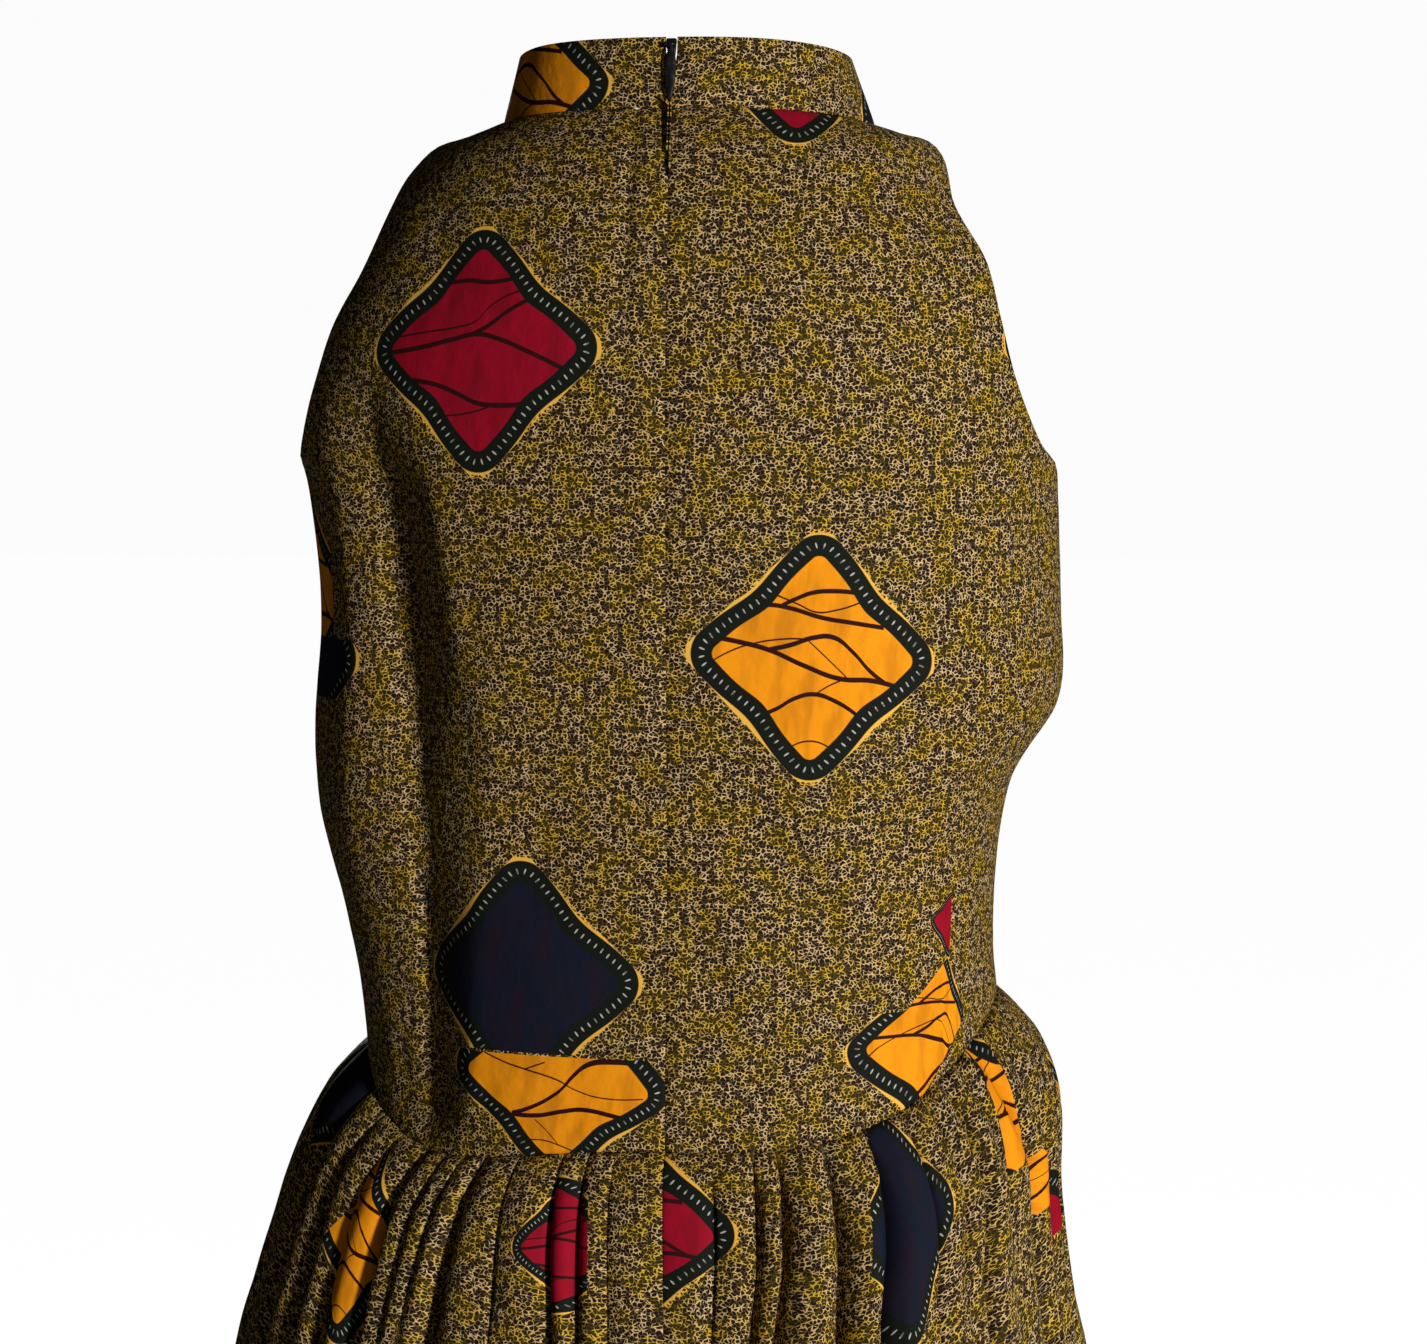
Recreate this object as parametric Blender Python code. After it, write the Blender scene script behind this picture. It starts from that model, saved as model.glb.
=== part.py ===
"""A sleeveless wax print dress with a stand collar, a centre back zip and a gathered skirt.

It stands as it is worn, hollow and open at the neck, armholes and hem. Its back, where the zip is,
faces -Y, and +X is the wearer's right. The origin is the middle of the neck, level with the collar
seam at the centre back. Lengths in the tables are centimetres, angles are degrees, and each
quarter of the dress is measured from its centre line, at 0, to its side seam, at 90.
"""

import math
from collections import namedtuple

import bmesh
import bpy
from mathutils import Vector

CM = 0.01
MM = 0.001

CLOTH_WALL = 1.2 * MM
SKIRT_WALL = 1.4 * MM
COLLAR_WALL = 1.8 * MM
SEAM_HALF_GAP = 0.15 * MM
ROUNDNESS = 2.3  # exponent of the rings: 2 is an ellipse, more is squarer
QUARTER = 90.0

LEFT, RIGHT = -1, 1  # the wearer's own left and right, on -X and +X
BACK, FRONT = -1, 1  # on -Y and +Y

# How late each quarter's rings leave the height of their centre line for that of the side seam.
RISE_POWER = {(BACK, LEFT): 8, (BACK, RIGHT): 3.2, (FRONT, LEFT): 2, (FRONT, RIGHT): 2}

# The bodice, from the collar seam to the waist seam. The z columns are the ring's height at the
# centre back, the side seams and the centre front. left and right are its half widths, back and
# front its half depths, and the arm columns the angle where each half ends, at a seam or armhole.
# sway is how far its centre lines stand from the middle, towards the right.
Section = namedtuple(
    "Section",
    "name back_z left_z right_z front_z left right back front arm_back arm_front sway",
)
BODICE = (
    Section("neck", 0.0, -0.2, -0.2, -3.2, 7.7, 7.9, 6.7, 5.6, 90, 90, 0.0),
    Section("yoke", -0.9, -0.6, -0.6, -4.0, 9.2, 9.1, 7.4, 6.3, 90, 90, 0.05),
    Section("shoulder tip", -1.9, -1.1, -1.1, -5.0, 10.8, 10.3, 8.1, 7.0, 90, 90, 0.1),
    Section("blade top", -3.7, -3.4, -3.4, -6.7, 12.7, 11.6, 8.9, 7.9, 70, 66, 0.15),
    Section("blade", -6.2, -5.9, -5.9, -8.9, 14.4, 13.6, 9.7, 8.8, 63, 56, 0.2),
    Section("blade foot", -8.6, -8.2, -8.2, -11.0, 15.9, 14.4, 10.2, 9.8, 62, 54, 0.2),
    Section("arm low", -11.2, -10.8, -10.8, -13.3, 16.5, 14.8, 10.45, 10.9, 65, 58, 0.2),
    Section("arm foot", -13.6, -13.3, -13.3, -15.4, 16.6, 15.2, 10.5, 11.7, 73, 68, 0.2),
    Section("underarm", -15.2, -15.0, -15.0, -16.9, 16.2, 15.3, 10.5, 12.2, 90, 90, 0.2),
    Section("bust", -20.4, -20.2, -20.2, -21.0, 15.7, 15.5, 10.4, 12.6, 90, 90, 0.2),
    Section("under bust", -25.0, -24.4, -23.8, -25.2, 16.0, 15.4, 10.2, 12.4, 90, 90, 0.2),
    Section("rib", -29.2, -28.2, -27.2, -28.8, 15.8, 13.5, 10.0, 11.9, 90, 90, 0.2),
    Section("waist top", -34.0, -32.6, -31.4, -32.6, 14.7, 12.9, 9.8, 11.3, 90, 90, 0.15),
    Section("waist", -38.2, -36.3, -34.6, -35.7, 14.0, 12.9, 9.8, 10.8, 90, 90, 0.1),
    Section("waist seam", -41.2, -38.8, -36.5, -38.0, 13.8, 13.1, 10.0, 10.5, 90, 90, 0.1),
)
NECK, WAIST = 0, len(BODICE) - 1
# The walls have this many rows to a step of the table from the shoulder to the ribs.
FINE_FROM, FINE_TO, FINE_STEPS = 2, 11, 2
UPRIGHT = 5.0  # nearer the centre line than this, a column doesn't lean away from the armhole

# The long fold that falls from the left underarm to the waist, on the back: where its valley is,
# how deep, and how far it runs towards the centre, to its ridge, and towards the side.
Fold = namedtuple("Fold", "level valley depth to_ridge to_side")
SIDE_FOLD = (
    Fold(5.6, 46, 0.0, 12, 12),
    Fold(7, 47, 1.0, 13.5, 12),
    Fold(8, 46.5, 1.5, 14, 12),
    Fold(9, 45.5, 1.6, 16, 12),
    Fold(10, 43.5, 1.6, 20, 13),
    Fold(11, 41.5, 1.3, 17, 18),
    Fold(12, 43, 1.1, 14, 24),
    Fold(13.4, 45, 0.9, 12, 30),
    Fold(14, 46, 0.1, 10, 30),
)
SIDE_FOLD_RISE = 1.6  # how much sooner than a straight slope the side of the fold rises

# How far the left of the back hangs below its rings, half way round, at each level.
LEFT_DROOP = ((11, 0.0), (13, 0.5), (14, 0.9))

BUST_OUT = 0.9  # how far each bust point stands out from the ring
BUST_X, BUST_Z, BUST_REACH = 8.3, -20.5, 4.8

# The stand collar, as its seam and its upper edge.
COLLAR_HEIGHT = 2.8
COLLAR_LEAN = {LEFT: 0.7, RIGHT: 1.0}  # how far in its upper edge stands at each side
COLLAR_LEAN_BACK, COLLAR_LEAN_FRONT = 0.6, 0.3
Band = namedtuple("Band", "height wall_share end_gap")
COLLAR_BANDS = (
    Band(0.0, 1.0, 0.015),
    Band(0.42, 1.0, 0.03),
    Band(0.66, 1.0, 0.225),
    Band(0.94, 1.0, 0.225),
    Band(1.0, 0.45, 0.235),
)
COLLAR_COLUMNS = (0, 3, 10, 18, 27, 36, 46, 57, 68, 79, 90)

# The skirt, from the waist seam to the hem. drop is measured at the centre back, and fold is how
# much of each gather's depth shows at that height.
SkirtRing = namedtuple("SkirtRing", "drop left right back front fold sway")
SKIRT = (
    SkirtRing(0.0, 13.8, 13.1, 10.0, 10.5, 0.08, 0.1),
    SkirtRing(0.8, 14.7, 14.0, 10.6, 11.0, 0.30, 0.1),
    SkirtRing(2.0, 15.8, 14.9, 11.3, 11.6, 0.60, 0.15),
    SkirtRing(4.2, 17.0, 15.6, 12.1, 12.3, 0.85, 0.25),
    SkirtRing(7.5, 18.3, 15.5, 12.9, 12.9, 1.00, 0.35),
    SkirtRing(12.0, 19.7, 16.1, 13.8, 13.6, 1.10, 0.4),
    SkirtRing(19.0, 21.2, 17.7, 15.0, 14.6, 1.25, 0.4),
    SkirtRing(28.5, 23.1, 20.0, 16.7, 16.2, 1.45, 0.4),
    SkirtRing(40.0, 25.3, 22.7, 18.9, 18.3, 1.70, 0.4),
    SkirtRing(49.0, 26.9, 24.6, 20.6, 19.9, 1.90, 0.4),
    SkirtRing(58.0, 28.3, 26.3, 22.2, 21.4, 2.05, 0.4),
)
SKIRT_LENGTH = SKIRT[-1].drop
HEM_Z = BODICE[-1].back_z - SKIRT_LENGTH
SETTLE = 9.0  # the drop over which a gather moves from its seam angle to its low angle
FADE = 0.45  # the last share of a short gather's run, over which it dies away

# Each gather's valley: its angle at the seam and low down, its depth, and how far down it runs.
Gather = namedtuple("Gather", "seam low depth run")
BACK_LEFT_GATHERS = (
    Gather(6, 5, 0.30, 18),
    Gather(10, 8.5, 0.80, 99),
    Gather(16.3, 14, 0.60, 30),
    Gather(22, 20, 0.40, 8),
    Gather(28.5, 26, 1.00, 99),
    Gather(34, 31.5, 0.35, 7),
    Gather(39, 35.5, 0.45, 12),
    Gather(43.5, 40, 0.95, 99),
    Gather(47.5, 45, 0.30, 6),
    Gather(53, 50, 0.60, 99),
    Gather(61, 58, 0.50, 22),
    Gather(69, 67, 0.80, 99),
    Gather(77, 76, 0.55, 16),
    Gather(84, 83, 0.50, 99),
)
BACK_RIGHT_GATHERS = (
    Gather(6, 5, 0.30, 40),
    Gather(12.3, 10.2, 0.60, 24),
    Gather(16.6, 14.5, 0.85, 99),
    Gather(24.8, 22.8, 0.65, 99),
    Gather(33.6, 31, 0.75, 99),
    Gather(39, 39, 0.40, 13),
    Gather(46, 46, 0.40, 9),
    Gather(52.5, 52.5, 0.75, 99),
    Gather(57.5, 58, 0.35, 7),
    Gather(63, 64, 0.85, 99),
    Gather(71, 72, 0.50, 14),
    Gather(81, 81, 0.65, 99),
)
FRONT_GATHERS = (
    Gather(4, 4, 0.50, 26),
    Gather(10.5, 10, 0.75, 99),
    Gather(17, 16, 0.40, 9),
    Gather(23, 22.5, 0.85, 99),
    Gather(30.5, 29, 0.50, 16),
    Gather(37, 36, 0.80, 99),
    Gather(43, 42.5, 0.40, 7),
    Gather(50, 49, 0.90, 99),
    Gather(57, 57, 0.45, 20),
    Gather(64, 63.5, 0.75, 99),
    Gather(72, 72, 0.50, 11),
    Gather(80, 79, 0.70, 99),
)
GATHERS = {
    (BACK, LEFT): BACK_LEFT_GATHERS,
    (BACK, RIGHT): BACK_RIGHT_GATHERS,
    (FRONT, LEFT): FRONT_GATHERS,
    (FRONT, RIGHT): FRONT_GATHERS,
}
CREST_SHARES = (0.33, 0.67)  # the columns between two valleys

# The concealed zip: its tape behind the centre back seam, its slider and its pull.
TAPE_ANGLE = 3.0
TAPE_CLEARANCE = 0.6 * MM
TAPE_WALL = 1.0 * MM
TAPE_TOP = 0.66  # share of the collar's height
TAPE_LAST_DROP = 12.0

SLIDER_HALF_WIDTH = 1.9 * MM
SLIDER_HEIGHT = 7.4 * MM
SLIDER_BEHIND = 2.4 * MM  # from the collar's outer face to the back of the slider
EAR_INNER_X = 1.3 * MM
EAR_RADIUS = 1.3 * MM
PIN_RADIUS = 0.5 * MM
PIN_OUT = 1.9 * MM  # from the collar's outer face to the pin's axis
PIN_BELOW_TOP = 3.2 * MM
PULL_EYE_RADIUS = 1.2 * MM
PULL_BORE_RADIUS = 0.66 * MM
PULL_EYE_HALF_WIDTH = 1.1 * MM
PULL_THICKNESS = 1.0 * MM
PULL_LENGTH = 24.0 * MM
# The pull's outline, from its eye down, as shares of its length and half widths.
PullStation = namedtuple("PullStation", "along half_width")
PULL_OUTLINE = (
    PullStation(0.0, 0.9 * MM),
    PullStation(0.10, 1.0 * MM),
    PullStation(0.18, 1.9 * MM),
    PullStation(0.32, 2.25 * MM),
    PullStation(0.55, 2.2 * MM),
    PullStation(0.78, 1.75 * MM),
    PullStation(0.92, 1.2 * MM),
    PullStation(1.0, 0.6 * MM),
)
ROUND_SIDES = 16


def mixed(rows, place, column):
    """A column of a table between its rows, on a smooth curve through them."""
    last = len(rows) - 1
    place = min(max(place, 0.0), float(last))
    i = min(int(place), last - 1)
    t = place - i
    before, low, high, after = (
        getattr(rows[min(max(j, 0), last)], column) for j in (i - 1, i, i + 1, i + 2)
    )
    rise_low = (high - before) / 2
    rise_high = (after - low) / 2
    return (
        low * (1 + 2 * t) * (1 - t) ** 2
        + rise_low * t * (1 - t) ** 2
        + high * t * t * (3 - 2 * t)
        - rise_high * t * t * (1 - t)
    )


def between(points, x):
    """The height at x of the straight lines through (x, height) points."""
    for (x0, y0), (x1, y1) in zip(points, points[1:]):
        if x <= x1:
            share = max(0.0, (x - x0) / (x1 - x0))
            return y0 + (y1 - y0) * share
    return points[-1][1]


def ring_point(half, side, angle, width, depth, centre_z, side_z):
    """A point on one quarter of a ring, in centimetres."""
    turn = math.radians(min(max(angle, 0.0), QUARTER))
    across, along = max(math.sin(turn), 0.0), max(math.cos(turn), 0.0)
    return Vector(
        (
            side * width * across ** (2 / ROUNDNESS),
            half * depth * along ** (2 / ROUNDNESS),
            centre_z + (side_z - centre_z) * across ** RISE_POWER[half, side],
        )
    )


def pressed_in(point, depth):
    """The point moved towards the body's axis."""
    out = Vector((point.x, point.y, 0)).normalized()
    return point - out * depth


def side_fold_depth(angle, level):
    """How deep the long fold at the left of the back is at this place."""
    valley = between([(f.level, f.valley) for f in SIDE_FOLD], level)
    depth = between([(f.level, f.depth) for f in SIDE_FOLD], level)
    if angle < valley:
        to_ridge = between([(f.level, f.to_ridge) for f in SIDE_FOLD], level)
        return depth * max(1 - (valley - angle) / to_ridge, 0)
    to_side = between([(f.level, f.to_side) for f in SIDE_FOLD], level)
    return depth * max(1 - (angle - valley) / to_side, 0) ** SIDE_FOLD_RISE


def droop(half, side, angle, level):
    """How far this place hangs below its ring."""
    if (half, side) != (BACK, LEFT):
        return 0.0
    return between(LEFT_DROOP, level) * math.sin(math.radians(2 * angle)) ** 2


def bodice_point(half, side, angle, level):
    """A point on the outside of the bodice, in metres."""
    widths, heights = ("left", "left_z") if side == LEFT else ("right", "right_z")
    depths, centres = ("back", "back_z") if half == BACK else ("front", "front_z")
    point = ring_point(
        half,
        side,
        angle,
        mixed(BODICE, level, widths),
        mixed(BODICE, level, depths),
        mixed(BODICE, level, centres),
        mixed(BODICE, level, heights),
    )
    if half == BACK and side == LEFT:
        point = pressed_in(point, side_fold_depth(angle, level))
    if half == FRONT:
        off_x, off_z = abs(point.x) - BUST_X, point.z - BUST_Z
        bump = math.exp(-(off_x**2 + off_z**2) / BUST_REACH**2)
        point.y += BUST_OUT * bump
    point.x += mixed(BODICE, level, "sway")
    point.z -= droop(half, side, angle, level)
    return point * CM


def outward(half, side, across, down):
    """The unit normal of a wall, from its directions away from the centre line and down."""
    return (across.cross(down) * (half * side)).normalized()


def bodice_normal(half, side, angle, level):
    turn, step = 1.0, 0.12
    across = bodice_point(half, side, angle + turn, level) - bodice_point(
        half, side, angle - turn, level
    )
    down = bodice_point(half, side, angle, level + step) - bodice_point(
        half, side, angle, level - step
    )
    # On a centre line or a side seam the ring runs straight across it.
    if angle <= 0:
        across = Vector((side, 0, 0))
    if angle >= QUARTER:
        across = Vector((0, -half, 0))
    return outward(half, side, across, down)


def arm_angle(half, level):
    """The angle at which this half of the bodice ends."""
    column = "arm_back" if half == BACK else "arm_front"
    return min(mixed(BODICE, level, column), QUARTER)


def bodice_levels():
    """The rows of the bodice's walls, closer together beside the armhole and the bust."""
    levels = [0.0]
    for i in range(WAIST):
        steps = FINE_STEPS if FINE_FROM <= i < FINE_TO else 1
        levels += [i + (j + 1) / steps for j in range(steps)]
    return levels


def seam_angles(half, side):
    """Where the waist seam turns, which is at each gather. The bodice's columns end there."""
    gathers = GATHERS[half, side]
    return [0, gathers[0].seam / 2] + [gather.seam for gather in gathers] + [QUARTER]


def bodice_column(half, side, share, clearance=0.0, thickness=CLOTH_WALL):
    """The outer and inner points down one line of the bodice. share is its angle at the waist."""
    outer, inner = [], []
    for level in bodice_levels():
        angle = share
        if share > UPRIGHT:
            angle *= arm_angle(half, level) / QUARTER
        point = bodice_point(half, side, angle, level)
        normal = bodice_normal(half, side, angle, level)
        if level == NECK:
            point.z -= SEAM_HALF_GAP
        if level == WAIST:
            point.z += SEAM_HALF_GAP
        if share == QUARTER:
            point.y += half * SEAM_HALF_GAP
        # The tape, which clears the cloth, runs unbroken across the centre back.
        if share == 0 and half == BACK and not clearance:
            point.x += side * SEAM_HALF_GAP
        outer.append(point - normal * clearance)
        inner.append(point - normal * (clearance + thickness))
    return outer, inner


def clear_scene():
    for obj in list(bpy.data.objects):
        bpy.data.objects.remove(obj)


def material(name, colour, roughness, metallic=0.0):
    made = bpy.data.materials.new(name)
    made.use_nodes = True
    shader = made.node_tree.nodes["Principled BSDF"]
    shader.inputs["Base Color"].default_value = (*colour, 1)
    shader.inputs["Roughness"].default_value = roughness
    shader.inputs["Metallic"].default_value = metallic
    return made


def finished(name, mesh, finish, smooth_angle=40):
    """A mesh as an object in the scene, shaded smooth."""
    mesh.materials.append(finish)
    mesh.shade_smooth()
    mesh.set_sharp_from_angle(angle=math.radians(smooth_angle))
    obj = bpy.data.objects.new(name, mesh)
    bpy.context.scene.collection.objects.link(obj)
    return obj


def wall(name, columns, finish):
    """A closed wall from columns of outer and inner points, each running down the cloth."""
    shape = bmesh.new()
    layers = [
        [[shape.verts.new(point) for point in column[layer]] for column in columns]
        for layer in (0, 1)
    ]
    last_column, last_row = len(columns) - 1, len(columns[0][0]) - 1
    for grid in layers:
        for i in range(last_column):
            for j in range(last_row):
                shape.faces.new(
                    (grid[i][j], grid[i][j + 1], grid[i + 1][j + 1], grid[i + 1][j])
                )
    rim = (
        [(i, 0) for i in range(last_column)]
        + [(last_column, j) for j in range(last_row)]
        + [(i, last_row) for i in range(last_column, 0, -1)]
        + [(0, j) for j in range(last_row, 0, -1)]
    )
    outer, inner = layers
    for (i, j), (k, m) in zip(rim, rim[1:] + rim[:1]):
        shape.faces.new((outer[i][j], outer[k][m], inner[k][m], inner[i][j]))
    bmesh.ops.recalc_face_normals(shape, faces=shape.faces)
    mesh = bpy.data.meshes.new(name)
    shape.to_mesh(mesh)
    shape.free()
    return finished(name, mesh, finish)


def make_bodice(finish):
    quarters = {
        (half, side): [bodice_column(half, side, share) for share in seam_angles(half, side)]
        for half, side in GATHERS
    }
    wall("bodice_back_left", quarters[BACK, LEFT], finish)
    wall("bodice_back_right", quarters[BACK, RIGHT], finish)
    front = quarters[FRONT, LEFT][::-1] + quarters[FRONT, RIGHT][1:]
    wall("bodice_front", front, finish)


def collar_point(half, side, angle, height):
    """A point on the outside of the collar, in metres. height is a share of the collar's own."""
    neck = BODICE[NECK]
    lean = COLLAR_LEAN_BACK if half == BACK else COLLAR_LEAN_FRONT
    width = neck.left if side == LEFT else neck.right
    depth = neck.back if half == BACK else neck.front
    centre_z = neck.back_z if half == BACK else neck.front_z
    lift = COLLAR_HEIGHT * height
    return CM * ring_point(
        half,
        side,
        angle,
        width - COLLAR_LEAN[side] * height,
        depth - lean * height,
        centre_z + lift,
        neck.left_z + lift,
    )


def collar_inward(half, side, angle):
    """The level direction from the collar's outer face to its inner one."""
    step = 1.0
    across = collar_point(half, side, angle + step, 0) - collar_point(
        half, side, angle - step, 0
    )
    if angle <= 0:
        across = Vector((side, 0, 0))
    if angle >= QUARTER:
        across = Vector((0, -half, 0))
    across.z = 0
    return -outward(half, side, across, Vector((0, 0, -1)))


def collar_column(half, side, angle, clearance=0.0, thickness=COLLAR_WALL):
    outer, inner = [], []
    inward = collar_inward(half, side, angle)
    for band in COLLAR_BANDS:
        point = collar_point(half, side, angle, band.height)
        if band.height == 0:
            point.z += SEAM_HALF_GAP
        if angle == 0 and half == BACK and not clearance:
            point.x += side * band.end_gap * CM
        spared = thickness * (1 - band.wall_share) / 2
        outer.append(point + inward * (clearance + spared))
        inner.append(point + inward * (clearance + thickness - spared))
    return outer, inner


def make_collar(finish):
    """One band round the neck, open at the centre back."""
    quarters = [
        [collar_column(half, side, angle) for angle in COLLAR_COLUMNS]
        for half, side in ((BACK, LEFT), (FRONT, LEFT), (FRONT, RIGHT), (BACK, RIGHT))
    ]
    back_left, front_left, front_right, back_right = quarters
    columns = back_left + front_left[-2::-1] + front_right[1:] + back_right[-2::-1]
    wall("collar", columns, finish)


def gather_depth(gather, drop):
    """How deep a gather's valley is at this drop, as a share of the table's depth."""
    if gather.run >= SKIRT_LENGTH:
        return gather.depth
    fade_from = gather.run * (1 - FADE)
    left = (gather.run - drop) / (gather.run - fade_from)
    return gather.depth * min(max(left, 0.0), 1.0)


def gather_angle(gather, drop):
    share = min(drop / SETTLE, 1.0)
    return gather.seam + (gather.low - gather.seam) * share * share * (3 - 2 * share)


def seam_height(half, side, angle):
    """The height of the waist seam, in centimetres."""
    seam = BODICE[WAIST]
    side_z = seam.left_z if side == LEFT else seam.right_z
    centre_z = seam.back_z if half == BACK else seam.front_z
    ring_z = ring_point(half, side, angle, 1, 1, centre_z, side_z).z
    return ring_z - droop(half, side, angle, WAIST)


def skirt_quarter_columns(gathers):
    """(lower gather, upper gather, share) for each column from the centre line to the side."""
    centre, side = Gather(0, 0, 0, 99), Gather(QUARTER, QUARTER, 0, 99)
    columns = [(centre, centre, 0.0), (centre, gathers[0], 0.5)]
    for low, high in zip(gathers, gathers[1:]):
        columns += [(low, low, 0.0)]
        columns += [(low, high, share) for share in CREST_SHARES]
    columns += [(gathers[-1], gathers[-1], 0.0), (gathers[-1], side, 0.5), (side, side, 0.0)]
    return columns


def skirt_point(half, side, column, ring):
    """A point on the outside of the skirt, in metres."""
    low, high, share = column
    angle = gather_angle(low, ring.drop) * (1 - share)
    angle += gather_angle(high, ring.drop) * share
    width = ring.left if side == LEFT else ring.right
    depth = ring.back if half == BACK else ring.front
    point = ring_point(half, side, angle, width, depth, 0, 0)
    seam_z = seam_height(half, side, low.seam) * (1 - share)
    seam_z += seam_height(half, side, high.seam) * share
    point.z = seam_z + (HEM_Z - seam_z) * ring.drop / SKIRT_LENGTH
    # A valley is narrow and its crest is broad.
    near_low = max(0.0, 1 - 2 * share) ** 2
    near_high = max(0.0, 2 * share - 1) ** 2
    depth_in = near_low * gather_depth(low, ring.drop) + near_high * gather_depth(
        high, ring.drop
    )
    point = pressed_in(point, ring.fold * depth_in)
    point.x += ring.sway
    return point * CM


def skirt_grid():
    """The outer points of the whole skirt, and where each quarter starts, going round it."""
    columns, starts = [], {}
    order = ((BACK, LEFT, 1), (FRONT, LEFT, -1), (FRONT, RIGHT, 1), (BACK, RIGHT, -1))
    for half, side, step in order:
        starts[half, side] = len(columns)
        quarter = skirt_quarter_columns(GATHERS[half, side])[::step]
        # The last column of a quarter is the first of the next.
        for column in quarter[:-1]:
            columns.append([skirt_point(half, side, column, ring) for ring in SKIRT])
    return columns, starts


def skirt_columns(clearance=0.0, thickness=SKIRT_WALL):
    """The outer and inner points of every column round the skirt."""
    grid, starts = skirt_grid()
    rows = len(SKIRT)
    made = []
    for i, column in enumerate(grid):
        before, after = grid[i - 1], grid[(i + 1) % len(grid)]
        outer, inner = [], []
        for j, point in enumerate(column):
            across = after[j] - before[j]
            down = column[min(j + 1, rows - 1)] - column[max(j - 1, 0)]
            normal = across.cross(down).normalized()
            if normal.dot(Vector((point.x, point.y, 0))) < 0:
                normal.negate()
            base = point.copy()
            if j == 0:
                base.z -= SEAM_HALF_GAP
            outer.append(base - normal * clearance)
            inner.append(base - normal * (clearance + thickness))
        made.append((outer, inner))
    return made, starts


def moved(column, shift):
    return tuple([point + shift for point in layer] for layer in column)


def make_skirt(finish):
    columns, starts = skirt_columns()
    count = len(columns)
    left_side = starts[FRONT, LEFT]
    front_end = starts[BACK, RIGHT]
    gap_x, gap_y = Vector((SEAM_HALF_GAP, 0, 0)), Vector((0, SEAM_HALF_GAP, 0))
    back_left = [moved(columns[0], LEFT * gap_x)] + columns[1:left_side]
    back_left.append(moved(columns[left_side], BACK * gap_y))
    front = [moved(columns[left_side], FRONT * gap_y)]
    front += columns[left_side + 1 : front_end]
    front.append(moved(columns[front_end], FRONT * gap_y))
    back_right = [moved(columns[front_end], BACK * gap_y)]
    back_right += columns[front_end + 1 : count]
    back_right.append(moved(columns[0], RIGHT * gap_x))
    wall("skirt_back_left", back_left, finish)
    wall("skirt_front", front, finish)
    wall("skirt_back_right", back_right, finish)


def make_zip_tape(finish):
    """The closed tapes, from the collar down through the waist seam, behind the centre back."""
    top = next(i for i, band in enumerate(COLLAR_BANDS) if band.height >= TAPE_TOP)
    kept = [j for j, ring in enumerate(SKIRT) if ring.drop <= TAPE_LAST_DROP]
    behind_skirt, starts = skirt_columns(SKIRT_WALL + TAPE_CLEARANCE, TAPE_WALL)
    lines = (
        (LEFT, TAPE_ANGLE, behind_skirt[1]),
        (LEFT, 0, behind_skirt[0]),
        (RIGHT, TAPE_ANGLE, behind_skirt[-1]),
    )
    columns = []
    for side, angle, skirt in lines:
        collar = collar_column(BACK, side, angle, COLLAR_WALL + TAPE_CLEARANCE, TAPE_WALL)
        bodice = bodice_column(BACK, side, angle, CLOTH_WALL + TAPE_CLEARANCE, TAPE_WALL)
        columns.append(
            [
                collar[layer][top::-1] + bodice[layer][1:] + [skirt[layer][j] for j in kept]
                for layer in (0, 1)
            ]
        )
    wall("zip_tape", columns, finish)


def box(name, low, high):
    shape = bmesh.new()
    bmesh.ops.create_cube(shape, size=1)
    low, high = Vector(low), Vector(high)
    for vert in shape.verts:
        share = vert.co + Vector((0.5, 0.5, 0.5))
        vert.co = Vector(a + (b - a) * t for a, b, t in zip(low, high, share))
    mesh = bpy.data.meshes.new(name)
    shape.to_mesh(mesh)
    shape.free()
    return mesh


def rod(name, radius, half_length):
    """A round rod along X, about the origin."""
    shape = bmesh.new()
    bmesh.ops.create_cone(
        shape,
        cap_ends=True,
        segments=ROUND_SIDES,
        radius1=radius,
        radius2=radius,
        depth=2 * half_length,
    )
    for vert in shape.verts:
        vert.co = Vector((vert.co.z, vert.co.y, -vert.co.x))
    mesh = bpy.data.meshes.new(name)
    shape.to_mesh(mesh)
    shape.free()
    return mesh


def helper(name, mesh, parent, place=(0, 0, 0)):
    """A shape that a Boolean reads and no view shows."""
    obj = bpy.data.objects.new(name, mesh)
    bpy.context.scene.collection.objects.link(obj)
    obj.parent = parent
    obj.location = place
    obj.hide_render = True
    obj.display_type = "WIRE"
    return obj


def boolean(obj, operation, other):
    cut = obj.modifiers.new(f"{operation.lower()} {other.name}", "BOOLEAN")
    cut.operation = operation
    cut.solver = "EXACT"
    cut.object = other


def zip_frame():
    """The pin's place on the collar's outer face, and the direction down that face."""
    top = collar_point(BACK, LEFT, 0, 1)
    foot = collar_point(BACK, LEFT, 0, 0)
    down = (foot - top).normalized()
    out = Vector((0, down.z, -down.y)).normalized()
    return top + down * PIN_BELOW_TOP + out * PIN_OUT, down, out


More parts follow.
